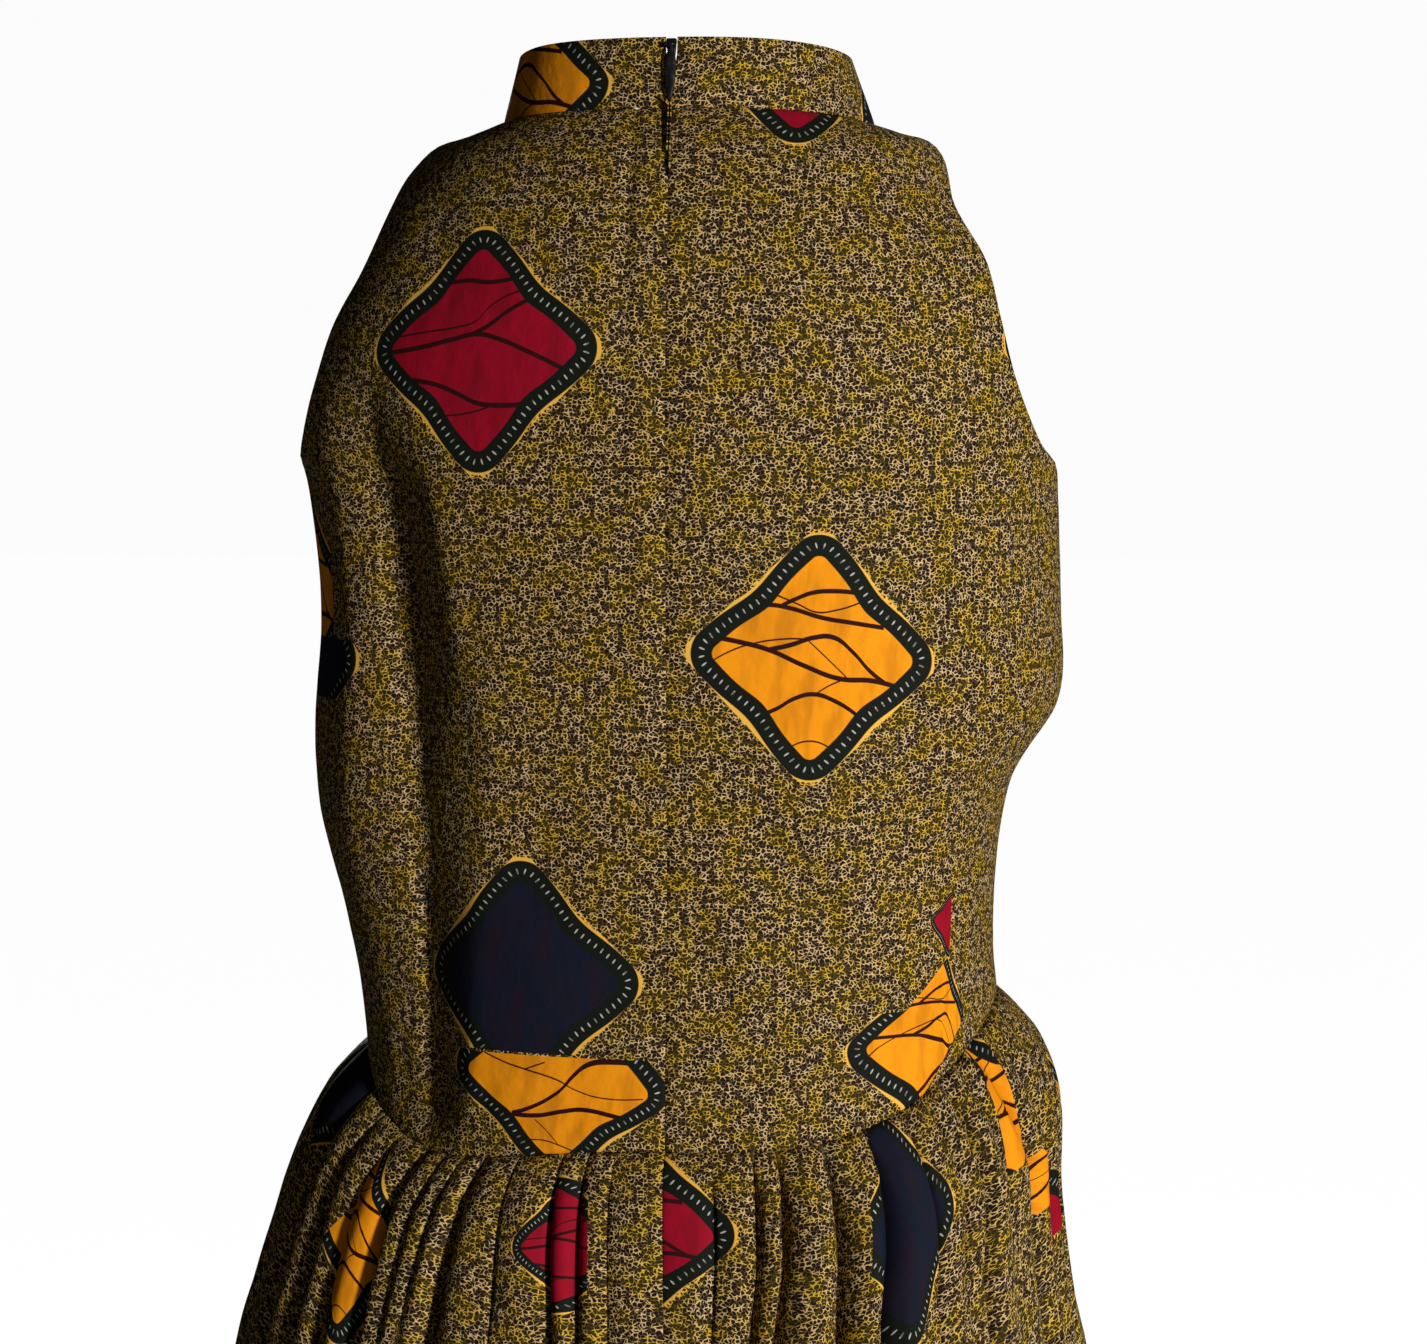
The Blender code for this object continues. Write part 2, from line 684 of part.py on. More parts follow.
def make_zip_slider(finish):
    """The slider in the gap between the collar's ends, with two ears and the pull's pin."""
    pin, down, out = zip_frame()
    frame = bpy.data.objects.new("zip_frame", None)
    bpy.context.scene.collection.objects.link(frame)
    frame.location = pin
    frame.rotation_euler = (math.atan2(down.y, -down.z), 0, 0)

    top_z = PIN_BELOW_TOP - 0.2 * MM
    front_y = EAR_RADIUS + 0.1 * MM
    body = box(
        "zip_slider",
        (-SLIDER_HALF_WIDTH, front_y, top_z - SLIDER_HEIGHT),
        (SLIDER_HALF_WIDTH, PIN_OUT + SLIDER_BEHIND, top_z),
    )
    slider = finished("zip_slider", body, finish)
    slider.parent = frame
    for side in (LEFT, RIGHT):
        near, far = sorted((side * EAR_INNER_X, side * SLIDER_HALF_WIDTH))
        ear = box(
            f"ear_{side}", (near, -EAR_RADIUS, -EAR_RADIUS), (far, front_y + 0.5 * MM, EAR_RADIUS)
        )
        boolean(slider, "UNION", helper(f"ear_{side}", ear, frame))
    pin_rod = rod("pin", PIN_RADIUS, (EAR_INNER_X + SLIDER_HALF_WIDTH) / 2)
    boolean(slider, "UNION", helper("pin", pin_rod, frame))
    return frame


def make_zip_pull(frame, finish):
    """The pull, whose own origin is the pin's axis."""
    shape = bmesh.new()
    rings = []
    for station in PULL_OUTLINE:
        z = -station.along * PULL_LENGTH
        corners = ((-1, -1), (1, -1), (1, 1), (-1, 1))
        rings.append(
            [
                shape.verts.new((x * station.half_width, y * PULL_THICKNESS / 2, z))
                for x, y in corners
            ]
        )
    for upper, lower in zip(rings, rings[1:]):
        for i in range(4):
            shape.faces.new((upper[i - 1], upper[i], lower[i], lower[i - 1]))
    shape.faces.new(rings[0])
    shape.faces.new(rings[-1])
    bmesh.ops.recalc_face_normals(shape, faces=shape.faces)
    mesh = bpy.data.meshes.new("zip_pull")
    shape.to_mesh(mesh)
    shape.free()
    pull = finished("zip_pull", mesh, finish)
    pull.parent = frame
    eye = helper("eye", rod("eye", PULL_EYE_RADIUS, PULL_EYE_HALF_WIDTH), pull)
    bore = helper("bore", rod("bore", PULL_BORE_RADIUS, 3 * MM), pull)
    boolean(pull, "UNION", eye)
    boolean(pull, "DIFFERENCE", bore)


def main():
    clear_scene()
    print_cotton = material("print_cotton", (0.21, 0.16, 0.055), 0.85)
    tape_cloth = material("tape_cloth", (0.012, 0.012, 0.014), 0.8)
    black_metal = material("black_metal", (0.015, 0.015, 0.016), 0.35, 0.6)
    make_collar(print_cotton)
    make_bodice(print_cotton)
    make_skirt(print_cotton)
    make_zip_tape(tape_cloth)
    frame = make_zip_slider(black_metal)
    make_zip_pull(frame, black_metal)


main()
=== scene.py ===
"""The finished look of the wax print dress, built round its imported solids.

Each cloth piece is a thin shell on its solid's own form, with its finer folds and its sewn edges.
Its print follows the cloth: the UV map named "cloth" holds metres of cloth across, from the centre
line, and down, from the piece's upper seam. Lengths in the tables are centimetres, angles are
degrees, and each quarter of the dress is measured from its centre line, at 0, to its side, at 90.
"""

import math
from collections import namedtuple

import bmesh
import bpy
import numpy as np
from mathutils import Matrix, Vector, noise


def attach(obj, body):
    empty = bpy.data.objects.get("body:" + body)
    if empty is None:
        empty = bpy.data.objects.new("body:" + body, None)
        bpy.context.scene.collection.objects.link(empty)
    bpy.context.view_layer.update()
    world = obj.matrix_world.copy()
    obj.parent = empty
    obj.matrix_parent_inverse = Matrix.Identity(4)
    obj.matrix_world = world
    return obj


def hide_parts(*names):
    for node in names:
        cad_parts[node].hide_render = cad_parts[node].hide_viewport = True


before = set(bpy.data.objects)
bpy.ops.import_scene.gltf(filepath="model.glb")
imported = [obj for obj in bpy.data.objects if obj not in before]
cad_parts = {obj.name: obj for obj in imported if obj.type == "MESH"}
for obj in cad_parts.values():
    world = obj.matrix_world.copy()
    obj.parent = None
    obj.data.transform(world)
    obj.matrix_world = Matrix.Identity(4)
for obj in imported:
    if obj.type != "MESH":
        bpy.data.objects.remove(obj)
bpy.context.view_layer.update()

CM = 0.01
MM = 0.001

# ---------------------------------------------------------------- the dress's own form

ROUNDNESS = 2.3  # exponent of the rings: 2 is an ellipse, more is squarer
QUARTER = 90.0
LEFT, RIGHT = -1, 1
BACK, FRONT = -1, 1
# How late each quarter's rings leave the height of their centre line for that of the side seam.
RISE_POWER = {(BACK, LEFT): 8, (BACK, RIGHT): 3.2, (FRONT, LEFT): 2, (FRONT, RIGHT): 2}

# The bodice's rings, from the top: the height of their centre lines and sides, how far out they
# reach, where the cloth ends at the armhole, and how far their middle lies to the right.
Section = namedtuple(
    "Section",
    "name back_z left_z right_z front_z left right back front arm_back arm_front sway",
)
BODICE = (
    Section("neck", 0.0, -0.2, -0.2, -3.2, 7.7, 7.9, 6.7, 5.6, 90, 90, 0.0),
    Section("yoke", -0.9, -0.6, -0.6, -4.0, 9.2, 9.1, 7.4, 6.3, 90, 90, 0.05),
    Section("shoulder tip", -1.9, -1.1, -1.1, -5.0, 10.8, 10.3, 8.1, 7.0, 90, 90, 0.1),
    Section("blade top", -3.7, -3.4, -3.4, -6.7, 12.7, 11.6, 8.9, 7.9, 70, 66, 0.15),
    Section("blade", -6.2, -5.9, -5.9, -8.9, 14.4, 13.6, 9.7, 8.8, 63, 56, 0.2),
    Section("blade foot", -8.6, -8.2, -8.2, -11.0, 15.9, 14.4, 10.2, 9.8, 62, 54, 0.2),
    Section("arm low", -11.2, -10.8, -10.8, -13.3, 16.5, 14.8, 10.45, 10.9, 65, 58, 0.2),
    Section("arm foot", -13.6, -13.3, -13.3, -15.4, 16.6, 15.2, 10.5, 11.7, 73, 68, 0.2),
    Section("underarm", -15.2, -15.0, -15.0, -16.9, 16.2, 15.3, 10.5, 12.2, 90, 90, 0.2),
    Section("bust", -20.4, -20.2, -20.2, -21.0, 15.7, 15.5, 10.4, 12.6, 90, 90, 0.2),
    Section("under bust", -25.0, -24.4, -23.8, -25.2, 16.0, 15.4, 10.2, 12.4, 90, 90, 0.2),
    Section("rib", -29.2, -28.2, -27.2, -28.8, 15.8, 13.5, 10.0, 11.9, 90, 90, 0.2),
    Section("waist top", -34.0, -32.6, -31.4, -32.6, 14.7, 12.9, 9.8, 11.3, 90, 90, 0.15),
    Section("waist", -38.2, -36.3, -34.6, -35.7, 14.0, 12.9, 9.8, 10.8, 90, 90, 0.1),
    Section("waist seam", -41.2, -38.8, -36.5, -38.0, 13.8, 13.1, 10.0, 10.5, 90, 90, 0.1),
)
WAIST = len(BODICE) - 1
LEFT_DROOP = ((11, 0.0), (13, 0.5), (14, 0.9))  # how far the left back sags, by the ring
BUST_OUT, BUST_X, BUST_Z, BUST_REACH = 0.9, 8.3, -20.5, 4.8
UPRIGHT = 3.0  # degrees beside the centre line in which the columns run straight down

# The long fold on the left of the back: its valley, its depth, and how far it runs towards the
# centre line, to its ridge, and towards the side.
Fold = namedtuple("Fold", "level valley depth to_ridge to_side")
SIDE_FOLD = (
    Fold(5.6, 46, 0.0, 12, 12),
    Fold(7, 47, 1.0, 13.5, 12),
    Fold(8, 46.5, 1.5, 14, 12),
    Fold(9, 45.5, 1.6, 16, 12),
    Fold(10, 43.5, 1.6, 20, 13),
    Fold(11, 41.5, 1.3, 17, 18),
    Fold(12, 43, 1.1, 14, 24),
    Fold(13.4, 45, 0.9, 12, 30),
    Fold(14, 46, 0.1, 10, 30),
)
RIDGE_SOFTNESS, FOLD_RISE_POWER = 0.05, 1.6

COLLAR_HEIGHT, COLLAR_WALL = 2.8, 0.18
COLLAR_LEAN = {LEFT: 0.7, RIGHT: 1.0}  # how far in its upper edge lies at the sides
COLLAR_LEAN_BACK, COLLAR_LEAN_FRONT = 0.6, 0.3
# Half the gap between the collar's ends, by the share of its height.
COLLAR_END_GAPS = ((0.0, 0.012), (0.42, 0.03), (0.66, 0.225), (1.0, 0.235))
COLLAR_COLUMNS, COLLAR_ROWS, COLLAR_ROLL_STEPS = 70, 26, 9
COLLAR_ROLL_HEIGHT = 0.55  # of half its wall, over its upper edge
COLLAR_FOOT_ROLL, COLLAR_END_ROLL = 0.8, 0.5  # shares of the roll that other seams have

# The skirt's rings: how far below the waist seam they lie, how far out they reach, how deep their
# gathers are, and how far their middle lies to the right.
SkirtRing = namedtuple("SkirtRing", "drop left right back front fold sway")
SKIRT = (
    SkirtRing(0.0, 13.8, 13.1, 10.0, 10.5, 0.22, 0.1),
    SkirtRing(0.8, 14.7, 14.0, 10.6, 11.0, 0.38, 0.1),
    SkirtRing(2.0, 15.8, 14.9, 11.3, 11.6, 0.60, 0.15),
    SkirtRing(4.2, 17.0, 15.6, 12.1, 12.3, 0.85, 0.25),
    SkirtRing(7.5, 18.3, 15.5, 12.9, 12.9, 1.00, 0.35),
    SkirtRing(12.0, 19.7, 16.1, 13.8, 13.6, 1.10, 0.4),
    SkirtRing(19.0, 21.2, 17.7, 15.0, 14.6, 1.25, 0.4),
    SkirtRing(28.5, 23.1, 20.0, 16.7, 16.2, 1.45, 0.4),
    SkirtRing(40.0, 25.3, 22.7, 18.9, 18.3, 1.70, 0.4),
    SkirtRing(49.0, 26.9, 24.6, 20.6, 19.9, 1.90, 0.4),
    SkirtRing(58.0, 28.3, 26.3, 22.2, 21.4, 2.05, 0.4),
)
SKIRT_LENGTH = SKIRT[-1].drop
HEM_Z = BODICE[-1].back_z - SKIRT_LENGTH
SETTLE = 9.0  # the drop over which gathers move from their places at the seam to those below
FADE = 0.45  # the last share of a short gather's run, over which it fades out

# Each gather's angle at the seam and lower down, its share of the full depth, and its run down.
Gather = namedtuple("Gather", "seam low depth run")
CENTRE, SIDE = Gather(0, 0, 0, 99), Gather(QUARTER, QUARTER, 0, 99)
BACK_LEFT_GATHERS = (
    Gather(6, 5, 0.30, 18),
    Gather(10, 8.5, 0.60, 99),
    Gather(14.2, 11.6, 0.60, 30),
    Gather(22, 19.5, 0.40, 8),
    Gather(29.4, 30.2, 1.00, 99),
    Gather(34, 34, 0.35, 7),
    Gather(38.5, 37, 0.40, 9),
    Gather(44.2, 42, 1.00, 99),
    Gather(53, 51, 0.50, 99),
    Gather(61, 57, 0.70, 22),
    Gather(69, 67, 0.80, 99),
    Gather(77, 76, 0.55, 16),
    Gather(84, 83, 0.50, 99),
)
BACK_RIGHT_GATHERS = (
    Gather(6, 5, 0.30, 40),
    Gather(12.3, 10.2, 0.60, 24),
    Gather(16.6, 14.0, 0.95, 99),
    Gather(24.8, 24.2, 0.85, 99),
    Gather(33.6, 31, 0.80, 99),
    Gather(41, 41, 0.25, 13),
    Gather(47, 47, 0.30, 9),
    Gather(52.5, 52.5, 0.75, 99),
    Gather(57.5, 59, 0.40, 7),
    Gather(63.5, 70, 0.80, 99),
    Gather(71, 79, 0.60, 16),
    Gather(81, 86, 0.60, 99),
)
FRONT_GATHERS = (
    Gather(4, 4, 0.50, 26),
    Gather(10.5, 10, 0.75, 99),
    Gather(17, 16, 0.40, 9),
    Gather(23, 22.5, 0.85, 99),
    Gather(30.5, 29, 0.50, 16),
    Gather(37, 36, 0.80, 99),
    Gather(43, 42.5, 0.40, 7),
    Gather(50, 49, 0.90, 99),
    Gather(57, 57, 0.45, 20),
    Gather(64, 63.5, 0.75, 99),
    Gather(72, 72, 0.50, 11),
    Gather(80, 79, 0.70, 99),
)
GATHERS = {
    (BACK, LEFT): BACK_LEFT_GATHERS,
    (BACK, RIGHT): BACK_RIGHT_GATHERS,
    (FRONT, LEFT): FRONT_GATHERS,
    (FRONT, RIGHT): FRONT_GATHERS,
}
SKIRT_CLOTH_QUARTER = 46.0  # the cloth gathered into each quarter of the skirt
WAIST_QUARTER = 18.4  # how much of it a plain, ungathered quarter would take
MOST_HIDDEN = 0.93  # the largest share of a gather's cloth that its slits hide
PRINT_AT_SEAM = 0.70  # the print is laid a little closer at the seam than at the hem

# ---------------------------------------------------------------- the shells' finer form

CLOTH_THICKNESS = 0.6 * MM
SHARP_COLLAR, SHARP_METAL = 60, 50  # the angles from which an edge is sharp
SEAM_ROLL_WIDTH, SEAM_ROLL_DEPTH = 1.5 * MM, 1.0 * MM
SEAM_HALF_GAP = 0.06 * MM
ZIP_HALF_GAP = ((0, 0.25), (12, 0.25), (16, 0.14), (60, 0.14))  # mm, by the drop below the waist
TURNINGS = ((0.05, 0.13), (0.12, 0.45))  # how far side and end edges go under, in two steps
BESIDE_A_SEAM = (0.0, 0.035, 0.08, 0.14, 0.22, 0.34, 0.52)  # the shell's finest lines
BODICE_STEP = 0.31  # between the bodice's plain lines
COLUMNS_SPACED_AT = 10.0  # the level of the ring along which the bodice's columns are spaced
# How many steps the bodice's centre line, its ring and the skirt's length are measured in.
ROW_STEPS, RING_STEPS, FIRST_RING_STEP, DROP_STEPS = 600, 800, 0.01, 2000
HALF_GATHER_STEPS = (0, 0.012, 0.03, 0.055, 0.09, 0.14, 0.21, 0.30, 0.40)
GATHER_STEPS = (*HALF_GATHER_STEPS, 0.5, *(1 - step for step in HALF_GATHER_STEPS[:0:-1]))
SKIRT_FINE_DROP, SKIRT_FINE_ROWS, SKIRT_PLAIN_ROWS = 8.0, 34, 52
SKIRT_ROWS_EVEN = 0.45  # how evenly the plain rows are spaced, where 1 is quite evenly
CREST_OUT = 0.10  # how far out the cloth stands between gathers, as a share of their depth
VALLEY_POWER, DEPTH_POWER = 2.0, 1.5
# The narrow slits down the middle of the gathers' valleys, which the solid leaves out.
SLIT_DEPTH = 1.35
SLIT_AT_SEAM, SLIT_WIDER, SLIT_WIDENS = 0.05, 0.17, 4.0  # half widths, and how soon they are met
SLIT_STARTS, SLIT_FADES, SLIT_FADE_RUN = 1.8, 9.0, 26.0
LEAST_SLIT = 0.001  # what stands in for no gather at all when cloth is shared out

# Soft creases: the half of the dress that each lies on, where it starts and ends, its half
# width, and its depth, less than 0 for a ridge.
Crease = namedtuple("Crease", "half x0 z0 x1 z1 width depth")
CREASES = (
    Crease(BACK, -1.35, 0.6, -1.40, -7, 0.14, 0.24),
    Crease(BACK, -1.38, -3, -1.45, -16, 0.14, 0.13),
    Crease(BACK, -1.45, -13, -1.40, -27, 0.15, 0.17),
    Crease(BACK, -1.10, -0.4, -1.20, -26, 0.25, -0.05),
    Crease(BACK, -11.9, -13.6, -10.6, -24.5, 0.20, 0.26),
    Crease(BACK, -11.1, -19.0, -10.3, -29.0, 0.20, 0.24),
    Crease(BACK, -10.5, -26.0, -9.9, -35.5, 0.20, 0.30),
    Crease(BACK, -10.1, -31.0, -9.8, -41.0, 0.20, 0.34),
    Crease(BACK, -7.2, -15.0, -7.9, -25.5, 0.5, 0.07),
    Crease(BACK, 10.0, -16.0, 9.8, -28.5, 0.9, 0.11),
    Crease(BACK, 14.6, -14.0, 13.4, -22.5, 0.8, 0.13),
    Crease(BACK, 15.0, -24.2, 10.3, -28.4, 0.7, 0.11),
    Crease(BACK, 13.6, -25.0, 9.6, -28.9, 0.6, -0.06),
    Crease(BACK, 2.4, -9.0, 3.4, -14.5, 0.8, 0.06),
    Crease(BACK, 6.6, -30.2, 9.0, -35.4, 0.5, -0.06),
    Crease(BACK, -11.4, -36.4, -10.9, -40.8, 0.28, 0.12),
    Crease(BACK, -10.3, -37.2, -10.1, -41.0, 0.25, 0.10),
    Crease(BACK, -9.4, -36.8, -9.2, -41.2, 0.25, 0.08),
    Crease(BACK, -7.2, -38.4, -7.4, -41.2, 0.28, 0.07),
    Crease(BACK, -3.3, -38.8, -3.6, -41.4, 0.25, 0.06),
    Crease(BACK, 2.6, -38.8, 2.4, -41.0, 0.3, 0.07),
    Crease(BACK, 6.4, -37.6, 6.7, -40.0, 0.3, 0.07),
    Crease(BACK, 10.6, -34.8, 10.9, -38.0, 0.3, 0.08),
    Crease(BACK, 0.35, -8, 0.4, -26, 0.45, 0.05),
    Crease(BACK, 3.3, -27.5, 7.6, -34.0, 1.0, 0.16),
    Crease(BACK, 4.6, -27.0, 8.6, -32.5, 0.9, -0.10),
    Crease(BACK, 0.6, -31.0, 3.2, -36.6, 0.9, 0.16),
    Crease(BACK, 1.8, -31.5, 4.2, -36.5, 0.8, -0.09),
    Crease(BACK, 9.4, -26.0, 8.6, -31.5, 0.5, 0.10),
    Crease(BACK, 13.0, -17.0, 10.2, -20.5, 0.9, 0.13),
    Crease(BACK, 12.2, -15.2, 9.4, -17.4, 0.9, -0.07),
    Crease(BACK, -4.2, -27.0, -5.8, -33.0, 1.1, 0.10),
    Crease(BACK, -10.9, -10.5, -12.2, -22.0, 0.8, -0.08),
    Crease(BACK, -9.6, -2.0, -8.4, -8.5, 0.9, 0.08),
    Crease(BACK, -11.8, -34.5, -9.0, -39.5, 0.6, 0.10),
    Crease(BACK, 5.0, -37.0, 9.0, -39.5, 0.8, 0.07),
    Crease(FRONT, -12.8, -17.5, -9.6, -20.0, 0.6, 0.14),
    Crease(FRONT, 12.6, -17.6, 9.5, -20.3, 0.6, 0.14),
    Crease(FRONT, -7.6, -26.5, -6.0, -37.2, 1.0, 0.15),
    Crease(FRONT, 7.8, -26.0, 6.2, -36.8, 1.0, 0.16),
    Crease(FRONT, -2.4, -29.0, -3.6, -37.0, 0.8, 0.09),
    Crease(FRONT, 1.6, -8.5, 4.6, -15.5, 1.0, 0.10),
    Crease(FRONT, -1.8, -9.0, -5.0, -15.0, 1.0, 0.09),
    Crease(FRONT, 3.0, -31.0, 4.4, -37.5, 0.7, 0.10),
)
CREASE_ENDS = 0.8  # how bluntly creases end

# Broad, gentle unevenness that all worn cloth has: how long its waves are and how high.
Ripple = namedtuple("Ripple", "length height")
BODICE_RIPPLES = (Ripple(5.2, 0.09), Ripple(2.1, 0.03), Ripple(0.9, 0.009))
SKIRT_RIPPLES = (Ripple(4.0, 0.10), Ripple(1.6, 0.03), Ripple(0.8, 0.010))
COLLAR_RIPPLES = (Ripple(2.4, 0.02), Ripple(0.9, 0.006))
SKIRT_RIPPLES_START = 2.5  # the drop over which they grow to their height


def along(rows, place, column):
    """A column of a table between its rows, on a smooth curve through them."""
    values = np.array([getattr(row, column) for row in rows], float)
    last = len(rows) - 1
    place = np.clip(np.asarray(place, float), 0, last)
    i = np.minimum(place.astype(int), last - 1)
    t = place - i
    before, low = values[np.maximum(i - 1, 0)], values[i]
    high, after = values[i + 1], values[np.minimum(i + 2, last)]
    return (
        low * (1 + 2 * t) * (1 - t) ** 2
        + (high - before) / 2 * t * (1 - t) ** 2
        + high * t * t * (3 - 2 * t)
        - (after - low) / 2 * t * t * (1 - t)
    )


def straight(points, x):
    """The height at x of the straight lines through (x, height) points."""
    return np.interp(x, [p[0] for p in points], [p[1] for p in points])


def smooth(t):
    """0 up to 0, 1 from 1 on, and an even S between."""
    t = np.clip(t, 0, 1)
    return t * t * (3 - 2 * t)


def ring(half, side, angle, width, depth, centre_z, side_z):
    """Points on one quarter of the dress's rings, in centimetres."""
    turn = np.radians(np.clip(angle, 0, QUARTER))
    across, ahead = np.sin(turn), np.maximum(np.cos(turn), 0)
    return np.stack(
        np.broadcast_arrays(
            side * width * across ** (2 / ROUNDNESS),
            half * depth * ahead ** (2 / ROUNDNESS),
            centre_z + (side_z - centre_z) * across ** RISE_POWER[half, side],
        ),
        axis=-1,
    )


def pressed_in(points, depth):
    """The points moved towards the body's axis."""
    reach = np.hypot(points[..., 0], points[..., 1])
    scale = 1 - depth / reach
    return points * np.stack([scale, scale, np.ones_like(scale)], axis=-1)


def side_fold_depth(angle, level):
    """The long fold: a slope from its ridge down to its valley, and an easing rise beyond."""
    levels = [fold.level for fold in SIDE_FOLD]
    valley, depth, to_ridge, to_side = (
        np.interp(level, levels, [getattr(fold, column) for fold in SIDE_FOLD])
        for column in ("valley", "depth", "to_ridge", "to_side")
    )
    off = angle - valley
    left = 1 + off / to_ridge
    slope = (left + np.sqrt(left**2 + RIDGE_SOFTNESS**2)) / 2
    rise = np.maximum(1 - off / to_side, 0) ** FOLD_RISE_POWER
    return depth * np.where(off < 0, slope, rise)


def droop(half, side, angle, level):
    """How far the left of the back sags, in centimetres, most half way round it."""
    if (half, side) != (BACK, LEFT):
        return 0.0
    return straight(LEFT_DROOP, level) * np.sin(np.radians(2 * angle)) ** 2


def bodice_grid(half, side, columns, levels):
    """The outer points of one quarter of the bodice, in centimetres."""
    share, level = np.meshgrid(columns, levels, indexing="ij")
    arm = np.minimum(along(BODICE, level, "arm_back" if half == BACK else "arm_front"), QUARTER)
    spread = (arm - UPRIGHT) / (QUARTER - UPRIGHT)
    angle = np.where(share < UPRIGHT, share, UPRIGHT + (share - UPRIGHT) * spread)
    widths, heights = ("left", "left_z") if side == LEFT else ("right", "right_z")
    depths, centres = ("back", "back_z") if half == BACK else ("front", "front_z")
    sizes = (along(BODICE, level, column) for column in (widths, depths, centres, heights))
    points = ring(half, side, angle, *sizes)
    if half == BACK and side == LEFT:
        points = pressed_in(points, side_fold_depth(angle, level))
    if half == FRONT:
        off_x, off_z = np.abs(points[..., 0]) - BUST_X, points[..., 2] - BUST_Z
        points[..., 1] += BUST_OUT * np.exp(-(off_x**2 + off_z**2) / BUST_REACH**2)
    points[..., 0] += along(BODICE, level, "sway")
    points[..., 2] -= droop(half, side, angle, level)
    return points


def seam_height(half, side, angle):
    """The height of the waist seam, in centimetres."""
    seam = BODICE[WAIST]
    side_z = seam.left_z if side == LEFT else seam.right_z
    centre_z = seam.back_z if half == BACK else seam.front_z
    rise = np.sin(np.radians(angle)) ** RISE_POWER[half, side]
    return centre_z + (side_z - centre_z) * rise - droop(half, side, angle, WAIST)


def gather_angle(gather, drop):
    """Where round its quarter the gather's valley lies at each drop."""
    return gather.seam + (gather.low - gather.seam) * smooth(drop / SETTLE)


def gather_depth(gather, drop):
    """The gather's share of the full depth at each drop."""
    depth = gather.depth**DEPTH_POWER
    if gather.run >= SKIRT_LENGTH:
        return np.full_like(drop, depth)
    fade_from = gather.run * (1 - FADE)
    return depth * smooth((gather.run - drop) / (gather.run - fade_from))


def valley_shape(share):
    """1 in a gather's valley and 0 from half way to the next."""
    return max(0.0, 1 - 2 * share) ** VALLEY_POWER


def slit_profile(drop, away, depth):
    """1 in the middle of a valley's narrow part, and 0 beyond its walls. away is in centimetres."""
    half_width = SLIT_AT_SEAM + SLIT_WIDER * smooth(drop / SLIT_WIDENS) * depth
    return np.exp(-((away / half_width) ** 2))


def slit_depth(drop, away, depth):
    """The deeper, narrow part of a valley, in centimetres, this far from its middle."""
    along_it = smooth(drop / SLIT_STARTS) * (1 - smooth((drop - SLIT_FADES) / SLIT_FADE_RUN))
    return SLIT_DEPTH * depth * along_it * slit_profile(drop, away, depth)


def cloth_hidden(drop, share, span, low, high):
    """How much of what two gathers' slits hide lies before this share of the way between."""
    here, beyond = (gather.depth**DEPTH_POWER + LEAST_SLIT for gather in (low, high))
    before = here * (1 - slit_profile(drop, share * span, here))
    before = before + beyond * slit_profile(drop, (1 - share) * span, beyond)
    return before / (here + beyond)


def skirt_rows():
    """The places of the shell's rows in the skirt's table, closer together near the seam."""
    fine = np.linspace(0, SKIRT_FINE_DROP, SKIRT_FINE_ROWS, endpoint=False)
    t = np.linspace(0, 1, SKIRT_PLAIN_ROWS)
    spacing = SKIRT_ROWS_EVEN * t + (1 - SKIRT_ROWS_EVEN) * t * t
    plain = SKIRT_FINE_DROP + (SKIRT_LENGTH - SKIRT_FINE_DROP) * spacing
    places = np.linspace(0, len(SKIRT) - 1, DROP_STEPS)
    return np.interp(np.concatenate([fine, plain]), along(SKIRT, places, "drop"), places)


